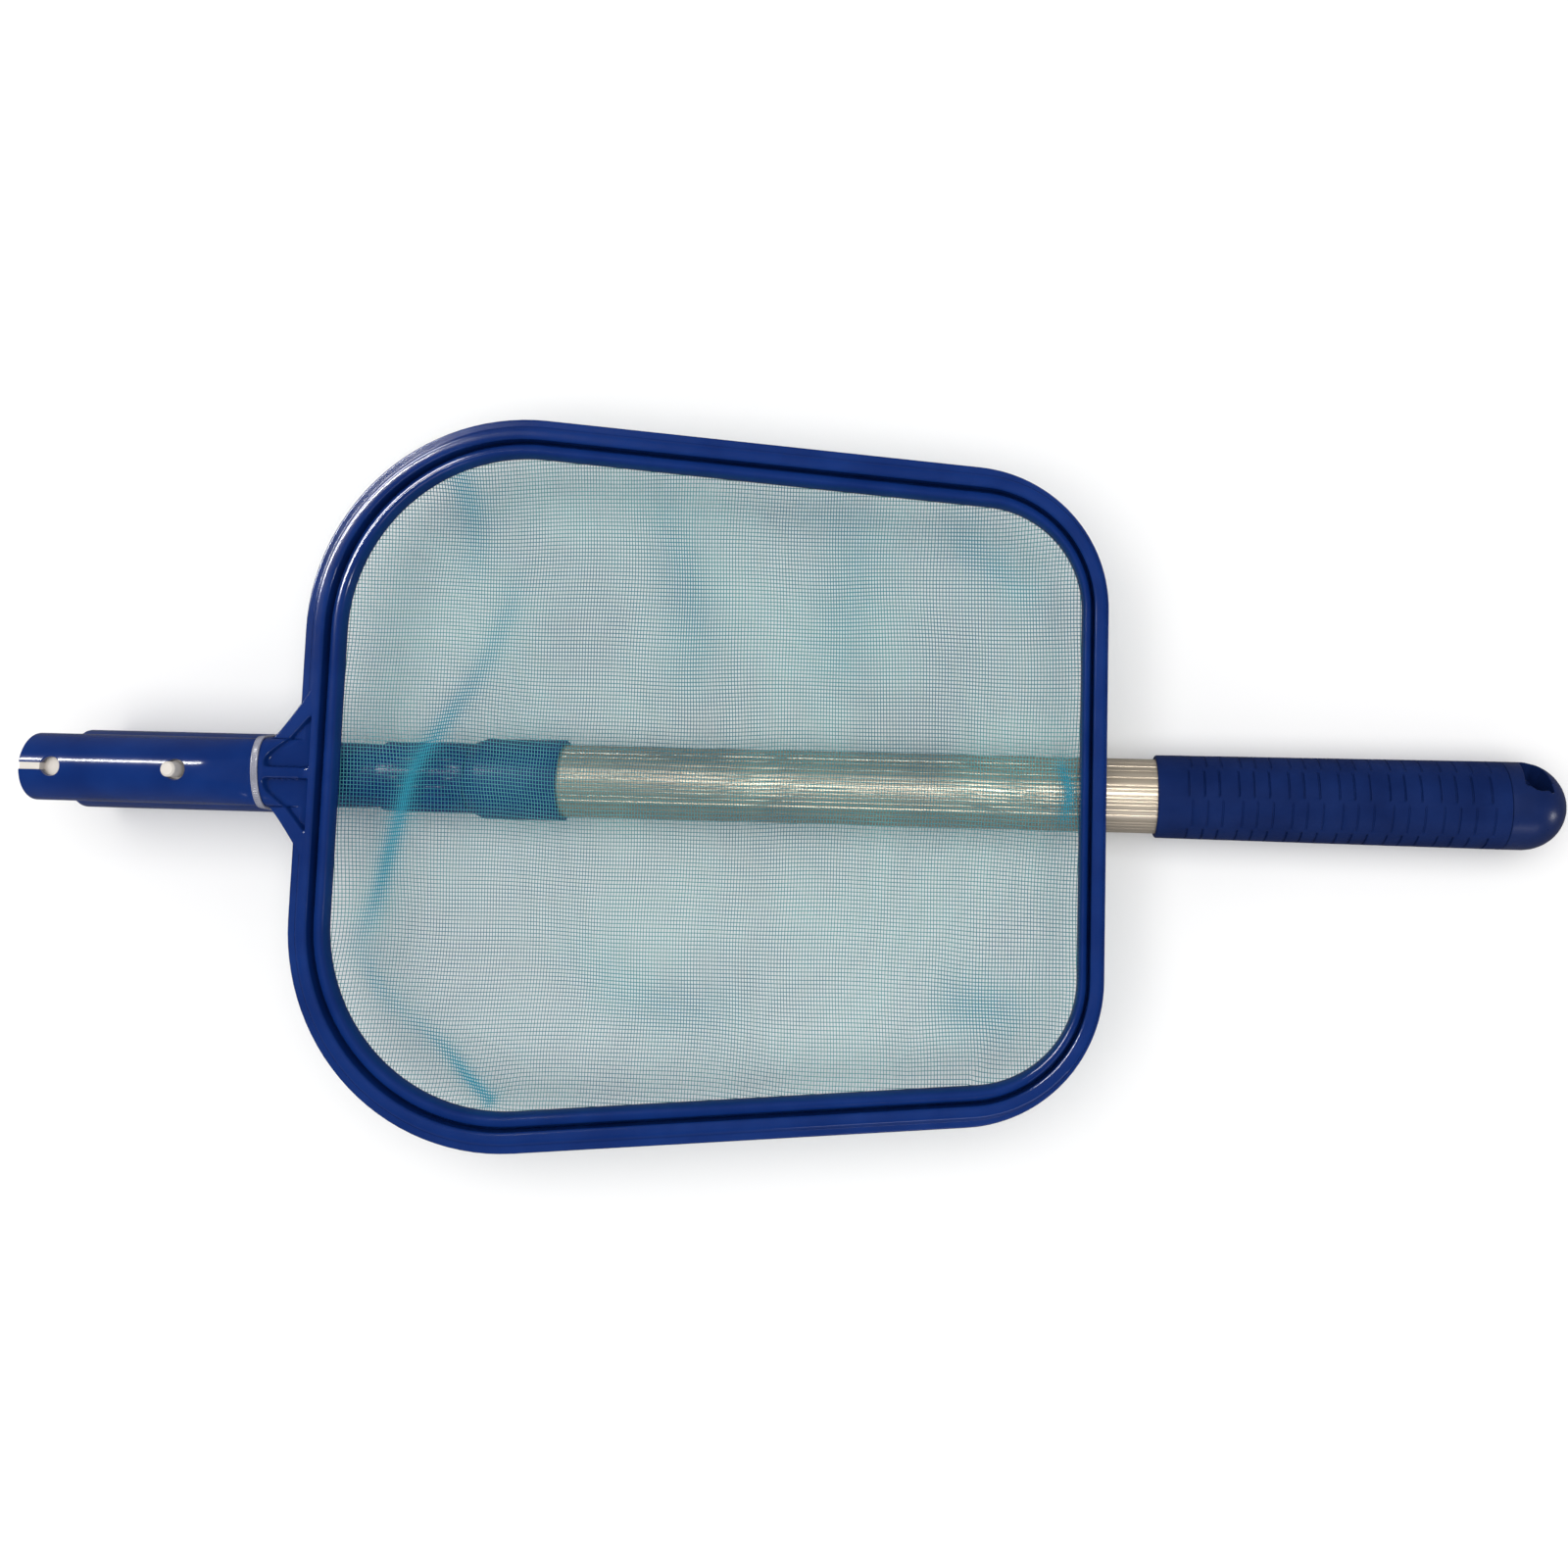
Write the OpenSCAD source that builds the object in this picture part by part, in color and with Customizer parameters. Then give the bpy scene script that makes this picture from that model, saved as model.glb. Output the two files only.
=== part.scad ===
// Leaf skimmer net for a pool or spa: a moulded head with a flat net, tied on
// top of its own telescopic pole, which is pushed together.
// X runs along the pole towards the grip, Y across, Z up. Millimetres.

/* [Pole] */
// height of the pole's centre line above the floor, set by the grip
grip_end_d = 36.8; // [30:0.1:44]
// outer tube, outside diameter
tube_od = 31.75; // [28:0.05:34]
// wall of both tubes
tube_wall = 1.2; // [0.9:0.1:2]
// inner tube, outside diameter
inner_od = 25.4; // [20:0.1:26]
// length of the outer tube
tube_len = 428; // [380:1:440]
// number of fine flutes round the outer tube
flutes = 28; // [12:2:40]
// depth of each flute
flute_depth = 0.25; // [0.1:0.05:0.5]
// gap between the guide bush and the cap's plug
tail_gap = 11.2; // [2:0.1:60]
// radial gap of the guide bush in the outer tube
bush_gap = 0.35; // [0.3:0.05:0.8]
// length of the guide bush beyond the inner tube
bush_len = 12; // [6:1:14]
// length of the guide bush's plug inside the inner tube
bush_plug = 14; // [8:1:24]

/* [Tip fitting] */
// mouth of the socket that takes a head
tip_x0 = -323; // [-340:1:-300]
// outside diameter of the socket
tip_od = 35; // [33:0.1:36.2]
// solid floor between the socket and the inner tube's seat
socket_web = 3; // [2:0.5:6]
// length of the thick part beyond the socket
tip_shoulder = 10; // [7:0.5:14]
// depth of the socket
socket_depth = 101; // [60:1:103]
// radial gap between the socket and a head's handle
socket_gap = 0.3; // [0.2:0.05:0.8]
// outside diameter of the neck on the inner tube
neck_od = 28.1; // [27:0.1:30]
// length of the neck
neck_len = 29; // [15:1:29]
// length of the cone between the thick part and the neck
tip_cone = 2; // [1:0.5:6]
// snap hole's distance from the mouth
tip_hole_x = 30; // [15:1:60]
// snap hole's diameter
tip_hole_d = 7.4; // [7:0.1:10]

/* [Twist lock] */
// outside diameter of the lock nut
nut_od = 30.9; // [29:0.1:33]
// gap between the neck and the lock nut
nut_clear = 1.8; // [0.5:0.1:4]
// length of the lock nut's outside
nut_len = 38.2; // [30:0.1:44]
// length of the lock nut's spigot inside the outer tube
nut_spigot = 22; // [14:1:30]
// radial gap between the nut and the inner tube
nut_gap = 0.35; // [0.3:0.05:0.6]
// outside diameter of the lock collar
collar_od = 35.6; // [34:0.1:36]
// gap between the lock nut and the collar
collar_gap = 0.3; // [0.2:0.05:1]
// length of the lock collar
collar_len = 41.7; // [34:0.1:50]
// depth of the outer tube's end in the collar
collar_grasp = 31; // [20:0.5:33]
// length of the collar's front chamfer
collar_chamfer = 6.2; // [3:0.1:9]
// length of the jaw sleeve
jaw_len = 24; // [12:1:28]
// wall of the jaw sleeve
jaw_wall = 1; // [0.8:0.1:1.1]
// jaw sleeve's distance from the nut's left end
jaw_inset = 5; // [3:0.5:8]
// play of the jaw sleeve in its recess
jaw_gap = 0.1; // [0.05:0.05:0.2]
// width of the jaw's slit
jaw_slit = 1.6; // [1:0.1:3]

/* [Grip and end cap] */
// length of the grip
grip_len = 142.8; // [138:0.2:170]
// how far the grip reaches past the outer tube's end
grip_over = 3.2; // [2.2:0.1:8]
// grip diameter at its left end
grip_start_d = 35.3; // [33:0.1:38]
// number of finger grooves
grooves = 19; // [8:1:20]
// first groove, from the grip's left end
groove_start = 11.7; // [8:0.1:16]
// pitch of the grooves
groove_pitch = 6.65; // [5:0.05:6.9]
// width of a groove
groove_w = 1; // [0.5:0.1:2]
// depth of a groove
groove_depth = 0.4; // [0.2:0.05:0.9]
// length of the cap from the grip to the top of the dome
cap_len = 26.4; // [22:0.1:34]
// length of the cap's plug inside the tube
plug_len = 14; // [8:1:18]
// diameter of the hanging hole
hang_d = 10; // [6:0.1:12]
// hanging hole's distance from the grip
hang_x = 11.5; // [8:0.1:14]
// turn of the hanging hole from upright
hang_turn = 37; // [0:1:90]

/* [Head] */
// left end of the handle
handle_x0 = -325.6; // [-345:0.1:-320]
// right end of the handle
handle_x1 = -222.3; // [-224:0.1:-221.6]
// outside diameter of the handle
handle_od = 29; // [27:0.05:29.3]
// wall of the handle
handle_wall = 2.4; // [1.8:0.1:3]
// solid end of the handle, from its bore to its right end
handle_solid = 11.8; // [9:0.1:20]
// gap between the handle and the socket below it
stack_gap = 0.2; // [0.05:0.05:0.8]
// gap between the frame and the collar that slides under it
frame_clear = 0.4; // [0.3:0.05:2]
// height of the frame
frame_h = 13; // [11:0.1:16]
// left edge of the frame
frame_x0 = -211; // [-216:0.5:-206]
// right edge of the frame
frame_x1 = 134; // [120:0.5:150]
// radius of the corners beside the handle
corner_r1 = 93.5; // [70:0.5:110]
// radius of the corners at the leading edge
corner_r2 = 60.5; // [34:0.5:66]
// half width at the shoulders
half_w1 = 155.7; // [150:0.1:170]
// half width at the leading edge
half_w2 = 136.5; // [120:0.5:146]
// width of the outer step
step_w = 4.2; // [2:0.1:5]
// drop of the outer step below the rim
step_drop = 1.8; // [0.5:0.1:4]
// width of the rim
rim_w = 4.2; // [3:0.1:5]
// how much narrower the step is at the leading edge
lead_step = 3; // [0:0.1:3.4]
// how much narrower the whole bar is at the leading edge
lead_bar = 5.5; // [3.5:0.1:6]
// thickness of the ledge that carries the net
ledge_h = 4; // [3:0.1:5]
// floor of the gusset's pockets
pocket_floor = 3; // [2:0.1:5]
// total width of the bar
bar_w = 16.4; // [15.4:0.1:20]
// open slot between the rim and the ring
slot_w = 1.9; // [1:0.1:2.4]
// height of the retaining ring above the ledge
ring_h = 6.2; // [4:0.1:7.5]
// drop of the ring's middle step below its top
ring_mid = 1; // [0.4:0.1:1.8]
// drop of the ring's inner step below its top
ring_low = 2.6; // [2:0.1:3.6]
// half width of the gusset where it meets the rim
gusset_w = 33.5; // [28:0.5:46]
// width of the gusset's middle rib
rib_w = 4.6; // [2:0.1:7]
// wall between the tie and the gusset's pockets
gusset_wall = 1.2; // [0.8:0.1:3]
// half width over the pockets at the handle
pocket_y0 = 7; // [4:0.1:10]
// half width over the pockets at the rim
pocket_y1 = 23; // [12:0.5:27]
// drop of the tie's seat below the handle's top
seat_drop = 6.5; // [2:0.1:9]
// length of the handle's slope down to the tie's seat
slope_len = 9.6; // [6:0.1:16]

/* [Net] */
// pitch of the net's form
net_pitch = 18; // [17.6:0.1:24]
// width of a strand of the form
strand_w = 1; // [0.7:0.1:1.6]
// thickness of the net
net_t = 0.6; // [0.4:0.1:0.8]
// sag in the middle
net_sag = 3.4; // [0:0.1:3.6]
// distance over which the net sags, after one flat pitch beside the bar
sag_reach = 60; // [30:1:90]
// width of the net's edge band under the ring
hem_w = 3; // [2:0.1:4]

/* [Snap clip] */
// button's distance from the mouth
button_x = 69.4; // [55:0.1:80]
// button's diameter
button_d = 6.4; // [5:0.1:6.8]
// how far the button stands out of the handle
button_out = 5.5; // [2:0.1:6]
// diameter of the button's hole in the handle
button_hole = 9; // [8.6:0.1:11]
// relief hole's distance from the mouth
relief_x = 14; // [10:0.1:20]
// relief hole's diameter
relief_d = 8.6; // [6:0.1:10]
// width of the slit from the mouth to the relief hole
slit_w = 3; // [2.4:0.1:4]
// width of the clip's strip
clip_w = 8; // [5:0.1:9]
// thickness of the clip's strip
clip_t = 1.6; // [1:0.1:2]
// gap between the clip's arm and the handle's bore, at the arm's top
clip_gap = 1.5; // [1:0.1:3]
// clip's distance from the mouth
clip_inset = 2.2; // [1:0.1:4]
// length of the strip beyond the button
clip_tail = 6; // [4:0.5:12]
// gap between the clip and the button's arm
arm_gap = 0.35; // [0.2:0.05:0.6]
// height of the button's bevel
button_bevel = 0.8; // [0.3:0.1:1.5]

/* [Cable tie] */
// middle of the band, from the handle's right end
tie_inset = 2; // [1.7:0.1:12]
// width of the band
tie_w = 3; // [2.4:0.1:3.2]
// thickness of the band
tie_t = 0.85; // [0.6:0.05:0.85]
// size of the tie's head, across and along the band
tie_head_w = 6.4; // [4:0.1:8]
// height of the tie's head
tie_head_h = 3.4; // [2.4:0.1:4]
// turn of the tie's head from straight below
tie_head_turn = 46; // [44:1:80]

/* [Hidden] */
$fn = 96;
pole_z = grip_end_d / 2;
tip_r = tip_od / 2;
handle_r = handle_od / 2;
handle_z = pole_z + tip_r + stack_gap + handle_r;
frame_z = pole_z + collar_od / 2 + frame_clear;
bore_r = handle_r - handle_wall;
socket_r = handle_r + socket_gap;
tube_r = tube_od / 2;
tube_ri = tube_r - tube_wall;
inner_r = inner_od / 2;
inner_ri = inner_r - tube_wall;
socket_x1 = tip_x0 + socket_depth;
tip_x1 = socket_x1 + tip_shoulder;
neck_x1 = tip_x1 + neck_len;
inner_x0 = socket_x1 + socket_web;
nut_x0 = neck_x1 + nut_clear;
nut_x1 = nut_x0 + nut_len;
nut_r = nut_od / 2;
nut_ri = inner_r + nut_gap;
jaw_x0 = nut_x0 + jaw_inset + 2 * jaw_gap;
spigot_r = tube_ri - bush_gap;
collar_r = collar_od / 2;
collar_x0 = nut_x1 + collar_gap;
collar_x1 = collar_x0 + collar_len;
tube_x0 = collar_x1 - collar_grasp;
tube_x1 = tube_x0 + tube_len;
grip_x1 = tube_x1 + grip_over;
grip_x0 = grip_x1 - grip_len;
cap_x1 = grip_x1 + cap_len;
inner_x1 = grip_x1 - plug_len - tail_gap - bush_len;
cap_r = grip_end_d / 2;
seat = 0.05;
ledge_z = frame_z + ledge_h;
net_z = ledge_z + seat + net_t / 2;
ring_z = ledge_z + net_t + 2 * seat;
ring_in = step_w + rim_w + slot_w;
c1x = frame_x0 + corner_r1;
c1y = half_w1 - corner_r1;
c2x = frame_x1 - corner_r2;
c2y = half_w2 - corner_r2;
hinge_x = handle_x0 + relief_x + relief_d / 2 + clip_t;
arm_z = bore_r - clip_gap - clip_t;
btn_x = handle_x0 + button_x;
tie_x = handle_x1 - tie_inset;
seat_x0 = tie_x - tie_w / 2 - 0.6;
gusset_x0 = tie_x + tie_w / 2 + 0.6;
seat_z = handle_z + handle_r - seat_drop;
tie_gap = 0.03;
eps = 0.01;

// a cylinder or cone along X, on the pole's centre line
module px(x0, x1, r0, r1) {
  translate([x0, 0, pole_z])
    rotate([0, 90, 0])
      cylinder(h = x1 - x0, r1 = r0, r2 = r1);
}

// the same on the handle's centre line
module hx(x0, x1, r) {
  translate([x0, 0, handle_z])
    rotate([0, 90, 0])
      cylinder(h = x1 - x0, r = r);
}

// direction of the side's outward normal, in degrees
function side_a(r1, r2, lead) =
  atan2(c2y - c1y, c2x + lead - c1x)
  + acos((r1 - r2) / norm([c2x + lead - c1x, c2y - c1y]));

// the frame's plan, drawn in by an inset, with its leading edge moved by lead;
// its straight sides run a hair inside the corner circles, so that they cross
module plan(inset, lead = 0) {
  r1 = corner_r1 - inset;
  r2 = corner_r2 - inset;
  q1 = r1 - 0.004;
  q2 = r2 - 0.004;
  a = side_a(r1, r2, lead);
  p1 = [c1x + q1 * cos(a), c1y + q1 * sin(a)];
  p2 = [c2x + lead + q2 * cos(a), c2y + q2 * sin(a)];
  for (s = [-1, 1]) {
    translate([c1x, s * c1y]) circle(r = r1);
    translate([c2x + lead, s * c2y]) circle(r = r2);
  }
  polygon([p1, p2, [c2x + lead + q2, c2y], [c2x + lead + q2, -c2y],
    [p2[0], -p2[1]], [p1[0], -p1[1]], [c1x - q1, -c1y], [c1x - q1, c1y]]);
}

// a band of the plan between two insets
module band(i0, l0, i1, l1, z0, z1) {
  translate([0, 0, z0])
    linear_extrude(height = z1 - z0)
      difference() {
        plan(i0, l0);
        plan(i1, l1);
      }
}

function gusset_y(t) = handle_r + (gusset_w - handle_r) * pow(t, 1.5);
gusset_x1 = frame_x0 + step_w;

module gusset_plan() {
  n = 8;
  up = [for (i = [0 : n]) [gusset_x0 + (gusset_x1 - gusset_x0) * i / n, gusset_y(i / n)]];
  down = [for (i = [n : -1 : 0]) [up[i][0], -up[i][1]]];
  polygon(concat(up, down));
}

module gusset_pocket() {
  x0 = gusset_x0 + gusset_wall;
  x1 = gusset_x1 - 0.4;
  polygon([[x0, rib_w / 2], [x0, pocket_y0], [x1, pocket_y1], [x1, rib_w / 2]]);
}

// what is cut away above the slope from the handle's top to the rim
module above_slope() {
  top = handle_z + handle_r + 1;
  translate([0, gusset_w + 1, 0])
    rotate([90, 0, 0])
      linear_extrude(height = 2 * gusset_w + 2)
        polygon([[seat_x0 - slope_len * (1 + 1 / seat_drop), top], [seat_x0, seat_z],
          [gusset_x0, seat_z], [gusset_x1, frame_z + frame_h], [gusset_x1, top]]);
}

module skimmer_frame() {
  color([0.06, 0.19, 0.47])
    difference() {
      union() {
        band(0, 0, step_w + rim_w, lead_step, frame_z, frame_z + frame_h - step_drop);
        band(step_w, lead_step, step_w + rim_w, lead_step, frame_z, frame_z + frame_h);
        band(step_w, lead_step, bar_w, lead_bar, frame_z, ledge_z);
        hx(handle_x0, gusset_x1 + 1, handle_r);
        translate([0, 0, frame_z])
          linear_extrude(height = frame_h)
            gusset_plan();
      }
      above_slope();
      hx(handle_x0 - 1, handle_x1 - handle_solid, bore_r);
      for (s = [-1, 1])
        translate([0, 0, frame_z + pocket_floor])
          linear_extrude(height = frame_h)
            mirror([0, s > 0 ? 0 : 1])
              gusset_pocket();
      // slit and relief hole at the mouth, in the upper wall
      translate([handle_x0 - 1, -slit_w / 2, handle_z])
        cube([relief_x + 1, slit_w, handle_r + 1]);
      translate([handle_x0 + relief_x, 0, handle_z])
        cylinder(h = handle_r + 1, d = relief_d);
      translate([btn_x, 0, handle_z])
        cylinder(h = handle_r + 1, d = button_hole);
    }
}

module retaining_ring() {
  third = (bar_w - ring_in) / 3;
  color([0.05, 0.16, 0.42])
    union() {
      band(ring_in, lead_step + 0.4, bar_w, lead_bar, ring_z, ring_z + ring_h - ring_low);
      band(ring_in, lead_step + 0.4, bar_w - third, lead_bar - 0.4, ring_z, ring_z + ring_h - ring_mid);
      band(ring_in, lead_step + 0.4, ring_in + third, lead_step + 0.6, ring_z, ring_z + ring_h);
    }
}

// distance from a point to the bar's inner edge
net_x0 = frame_x0 + bar_w;
net_x1 = frame_x1 + lead_bar - bar_w;
net_hy = half_w1 - bar_w;
function corner_in(p, c, r) = r - bar_w - norm(p - c);
function side_in(p) =
  let (a = side_a(corner_r1 - bar_w, corner_r2 - bar_w, lead_bar))
  corner_r1 - bar_w - (p - [c1x, c1y]) * [cos(a), sin(a)];
function edge_in(p) =
  p[0] < c1x && p[1] > c1y ? corner_in(p, [c1x, c1y], corner_r1)
  : p[0] > c2x + lead_bar && p[1] > c2y ? corner_in(p, [c2x + lead_bar, c2y], corner_r2)
  : min(p[0] - net_x0, net_x1 - p[0], side_in(p));

// height of the net over the plan
function net_h(x, y) =
  let (s = min(1, max(0, edge_in([x, abs(y)]) - net_pitch) / sag_reach))
  net_z - net_sag * (1 - (1 - s) * (1 - s));

// the net's grid: each crossing has four corners above and four below
module net_grid() {
  nx = ceil((net_x1 - net_x0 + 4) / net_pitch);
  ny = 2 * ceil((net_hy + 2) / net_pitch);
  gx0 = (net_x0 + net_x1 - nx * net_pitch) / 2;
  gy0 = -ny * net_pitch / 2;
  w = strand_w / 2;
  t = net_t / 2 - 0.04;
  corners = [[-w, -w, t], [w, -w, t], [w, w, t], [-w, w, t],
    [-w, -w, -t], [w, -w, -t], [w, w, -t], [-w, w, -t]];
  pts = [for (i = [0 : nx]) for (j = [0 : ny]) for (c = corners)
    [gx0 + i * net_pitch + c[0], gy0 + j * net_pitch + c[1],
      net_h(gx0 + i * net_pitch, gy0 + j * net_pitch) + c[2]]];
  function b(i, j) = 8 * (i * (ny + 1) + j);
  quads = concat(
    [for (i = [0 : nx]) for (j = [0 : ny]) [b(i, j), b(i, j) + 3, b(i, j) + 2, b(i, j) + 1]],
    [for (i = [0 : nx]) for (j = [0 : ny]) [b(i, j) + 4, b(i, j) + 5, b(i, j) + 6, b(i, j) + 7]],
    [for (i = [0 : nx - 1]) for (j = [0 : ny]) let (p = b(i, j), q = b(i + 1, j))
      [p + 1, p + 2, q + 3, q]],
    [for (i = [0 : nx - 1]) for (j = [0 : ny]) let (p = b(i, j), q = b(i + 1, j))
      [p + 5, q + 4, q + 7, p + 6]],
    [for (i = [0 : nx - 1]) for (j = [0 : ny]) let (p = b(i, j), q = b(i + 1, j))
      [p + 1, q, q + 4, p + 5]],
    [for (i = [0 : nx - 1]) for (j = [0 : ny]) let (p = b(i, j), q = b(i + 1, j))
      [p + 2, p + 6, q + 7, q + 3]],
    [for (i = [0 : nx]) for (j = [0 : ny - 1]) let (p = b(i, j), q = b(i, j + 1))
      [p + 3, q, q + 1, p + 2]],
    [for (i = [0 : nx]) for (j = [0 : ny - 1]) let (p = b(i, j), q = b(i, j + 1))
      [p + 7, p + 6, q + 5, q + 4]],
    [for (i = [0 : nx]) for (j = [0 : ny - 1]) let (p = b(i, j), q = b(i, j + 1))
      [p + 3, p + 7, q + 4, q]],
    [for (i = [0 : nx]) for (j = [0 : ny - 1]) let (p = b(i, j), q = b(i, j + 1))
      [p + 2, q + 1, q + 5, p + 6]],
    [for (j = [0 : ny]) [b(0, j), b(0, j) + 4, b(0, j) + 7, b(0, j) + 3]],
    [for (j = [0 : ny]) [b(nx, j) + 1, b(nx, j) + 2, b(nx, j) + 6, b(nx, j) + 5]],
    [for (i = [0 : nx]) [b(i, 0), b(i, 0) + 1, b(i, 0) + 5, b(i, 0) + 4]],
    [for (i = [0 : nx]) [b(i, ny) + 3, b(i, ny) + 7, b(i, ny) + 6, b(i, ny) + 2]]);
  tris = [for (q = quads) each [[q[0], q[1], q[2]], [q[0], q[2], q[3]]]];
  polyhedron(points = pts, faces = tris);
}

module net() {
  color([0.7, 0.8, 0.8])
    union() {
      intersection() {
        net_grid();
        translate([0, 0, net_z - 10])
          linear_extrude(height = 20)
            plan(bar_w - hem_w * 0.8, lead_bar - 0.5, $fn = 48);
      }
      translate([0, 0, net_z - net_t / 2])
        linear_extrude(height = net_t)
          difference() {
            plan(bar_w - 1 - hem_w, lead_bar - 1, $fn = 48);
            plan(bar_w - 1, lead_bar, $fn = 48);
          }
    }
}

// a strip of the clip along X, at a height from the handle's centre line
module strip(x0, x1, z) {
  translate([x0, -clip_w / 2, handle_z + z])
    cube([x1 - x0, clip_w, clip_t]);
}

module snap_clip() {
  bend_r = arm_z + clip_t;
  bend_x = handle_x0 + clip_inset + bend_r;
  color([0.9, 0.87, 0.8])
    union() {
      translate([bend_x, clip_w / 2, handle_z])
        rotate([90, 0, 0])
          difference() {
            cylinder(h = clip_w, r = bend_r);
            translate([0, 0, -1]) cylinder(h = clip_w + 2, r = bend_r - clip_t);
            translate([0, -bend_r - 1, -1]) cube([bend_r + 1, 2 * bend_r + 2, clip_w + 2]);
          }
      strip(bend_x, hinge_x - arm_gap, arm_z);
      strip(bend_x, btn_x + clip_tail, -arm_z - clip_t);
      // key that fills the slit
      translate([handle_x0 + 0.4, -slit_w / 2 + 0.1, handle_z + arm_z - 3])
        cube([relief_x - relief_d / 2 - 0.8, slit_w - 0.2, handle_r - arm_z + 2.4]);
    }
}

module snap_button() {
  color([0.93, 0.91, 0.85])
    union() {
      strip(hinge_x, btn_x + clip_tail, arm_z);
      translate([btn_x, 0, handle_z + arm_z])
        cylinder(h = handle_r + button_out - arm_z - button_bevel, d = button_d);
      translate([btn_x, 0, handle_z + handle_r + button_out - button_bevel])
        cylinder(h = button_bevel, d1 = button_d, d2 = button_d - 1.8 * button_bevel);
    }
}

// closed outline round the handle and the socket below it
module tie_plan(g) {
  rh = handle_r + g;
  rt = tip_r + g;
  d = handle_z - pole_z;
  a = acos((rt - rh) / d);
  intersection() {
    translate([0, handle_z]) circle(r = rh);
    translate([-rh - 1, pole_z]) square([2 * rh + 2, seat_z + g - pole_z]);
  }
  translate([0, pole_z]) circle(r = rt);
  polygon([[rt * sin(a), pole_z + rt * cos(a)], [rh * sin(a), handle_z + rh * cos(a)],
    [-rh * sin(a), handle_z + rh * cos(a)], [-rt * sin(a), pole_z + rt * cos(a)]]);
}

module cable_tie() {
  color([0.78, 0.78, 0.8])
    translate([tie_x - tie_w / 2, 0, 0])
      rotate([90, 0, 90])
        linear_extrude(height = tie_w)
          difference() {
            tie_plan(tie_gap + tie_t);
            tie_plan(tie_gap);
          }
}

module tie_head() {
  color([0.8, 0.8, 0.82])
    translate([tie_x, 0, pole_z])
      rotate([tie_head_turn, 0, 0])
        mirror([0, 0, 1])
          translate([-tie_w / 2 - 0.9, -tie_head_w / 2, tip_r + tie_t + tie_gap + seat])
            cube([tie_w + 1.8, tie_head_w, tie_head_h]);
}

module tip_fitting() {
  color([0.06, 0.2, 0.5])
    difference() {
      union() {
        px(tip_x0, tip_x1, tip_r, tip_r);
        px(tip_x1 - eps, tip_x1 + tip_cone, tip_r, neck_od / 2);
        px(tip_x1, neck_x1, neck_od / 2, neck_od / 2);
      }
      px(tip_x0 - 1, socket_x1, socket_r, socket_r);
      px(inner_x0, neck_x1 + 1, inner_r + seat, inner_r + seat);
      translate([tip_x0 + tip_hole_x, 0, pole_z - tip_r - 1])
        cylinder(h = 2 * tip_r + 2, d = tip_hole_d);
    }
}

module inner_tube() {
  color([0.75, 0.74, 0.71])
    difference() {
      px(inner_x0 + seat, inner_x1, inner_r, inner_r);
      px(inner_x0, inner_x1 + 1, inner_ri, inner_ri);
    }
}

module guide_bush() {
  color([0.12, 0.12, 0.13])
    union() {
      px(inner_x1 + seat, inner_x1 + bush_len, spigot_r, spigot_r);
      px(inner_x1 - bush_plug, inner_x1 + 1, inner_ri - seat, inner_ri - seat);
    }
}

module lock_nut() {
  color([0.05, 0.17, 0.44])
    difference() {
      union() {
        px(nut_x0, nut_x1, nut_r, nut_r);
        px(nut_x1 - 1, nut_x1 + nut_spigot, spigot_r, spigot_r);
      }
      px(nut_x0 - 1, nut_x1 + nut_spigot + 1, nut_ri, nut_ri);
      px(jaw_x0 - 2 * jaw_gap, jaw_x0 + jaw_len + 2 * jaw_gap,
        nut_ri + jaw_wall + jaw_gap, nut_ri + jaw_wall + jaw_gap);
    }
}

module lock_jaw() {
  color([0.9, 0.9, 0.88])
    difference() {
      px(jaw_x0, jaw_x0 + jaw_len, nut_ri + jaw_wall, nut_ri + jaw_wall);
      px(jaw_x0 - 1, jaw_x0 + jaw_len + 1, nut_ri, nut_ri);
      translate([jaw_x0 - 1, -jaw_slit / 2, pole_z - nut_ri - 3])
        cube([jaw_len + 2, jaw_slit, nut_ri + 3]);
    }
}

module lock_collar() {
  color([0.06, 0.19, 0.47])
    difference() {
      union() {
        px(collar_x0, collar_x0 + collar_chamfer, nut_r, collar_r);
        px(collar_x0 + collar_chamfer, collar_x1, collar_r, collar_r);
      }
      px(collar_x0 - 1, tube_x0 - 0.5, spigot_r + bush_gap, spigot_r + bush_gap);
      px(tube_x0 - 0.6, collar_x1 + 1, tube_r + seat, tube_r + seat);
    }
}

module outer_tube() {
  color([0.78, 0.76, 0.72])
    difference() {
      px(tube_x0, tube_x1, tube_r, tube_r);
      px(tube_x0 - 1, tube_x1 + 1, tube_ri, tube_ri);
      for (i = [0 : flutes - 1])
        translate([collar_x1 + 0.5, 0, pole_z])
          rotate([360 * (i + 0.5) / flutes, 0, 0])
            translate([0, -0.5, tube_r - flute_depth])
              cube([grip_x0 - collar_x1 - 1, 1, 1]);
    }
}

module grip() {
  color([0.09, 0.15, 0.37])
    difference() {
      px(grip_x0, grip_x1, grip_start_d / 2, cap_r);
      px(grip_x0 - 1, grip_x1 + 1, tube_r + seat, tube_r + seat);
      for (i = [0 : grooves - 1])
        translate([grip_x0 + groove_start + i * groove_pitch, 0, pole_z])
          rotate([0, 90, 0])
            difference() {
              cylinder(h = groove_w, r = cap_r + 1);
              translate([0, 0, -1])
                cylinder(h = groove_w + 2, r = grip_start_d / 2 - groove_depth
                  + (cap_r - grip_start_d / 2) * (groove_start + i * groove_pitch)
                  / (grip_x1 - grip_x0));
            }
    }
}

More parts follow.
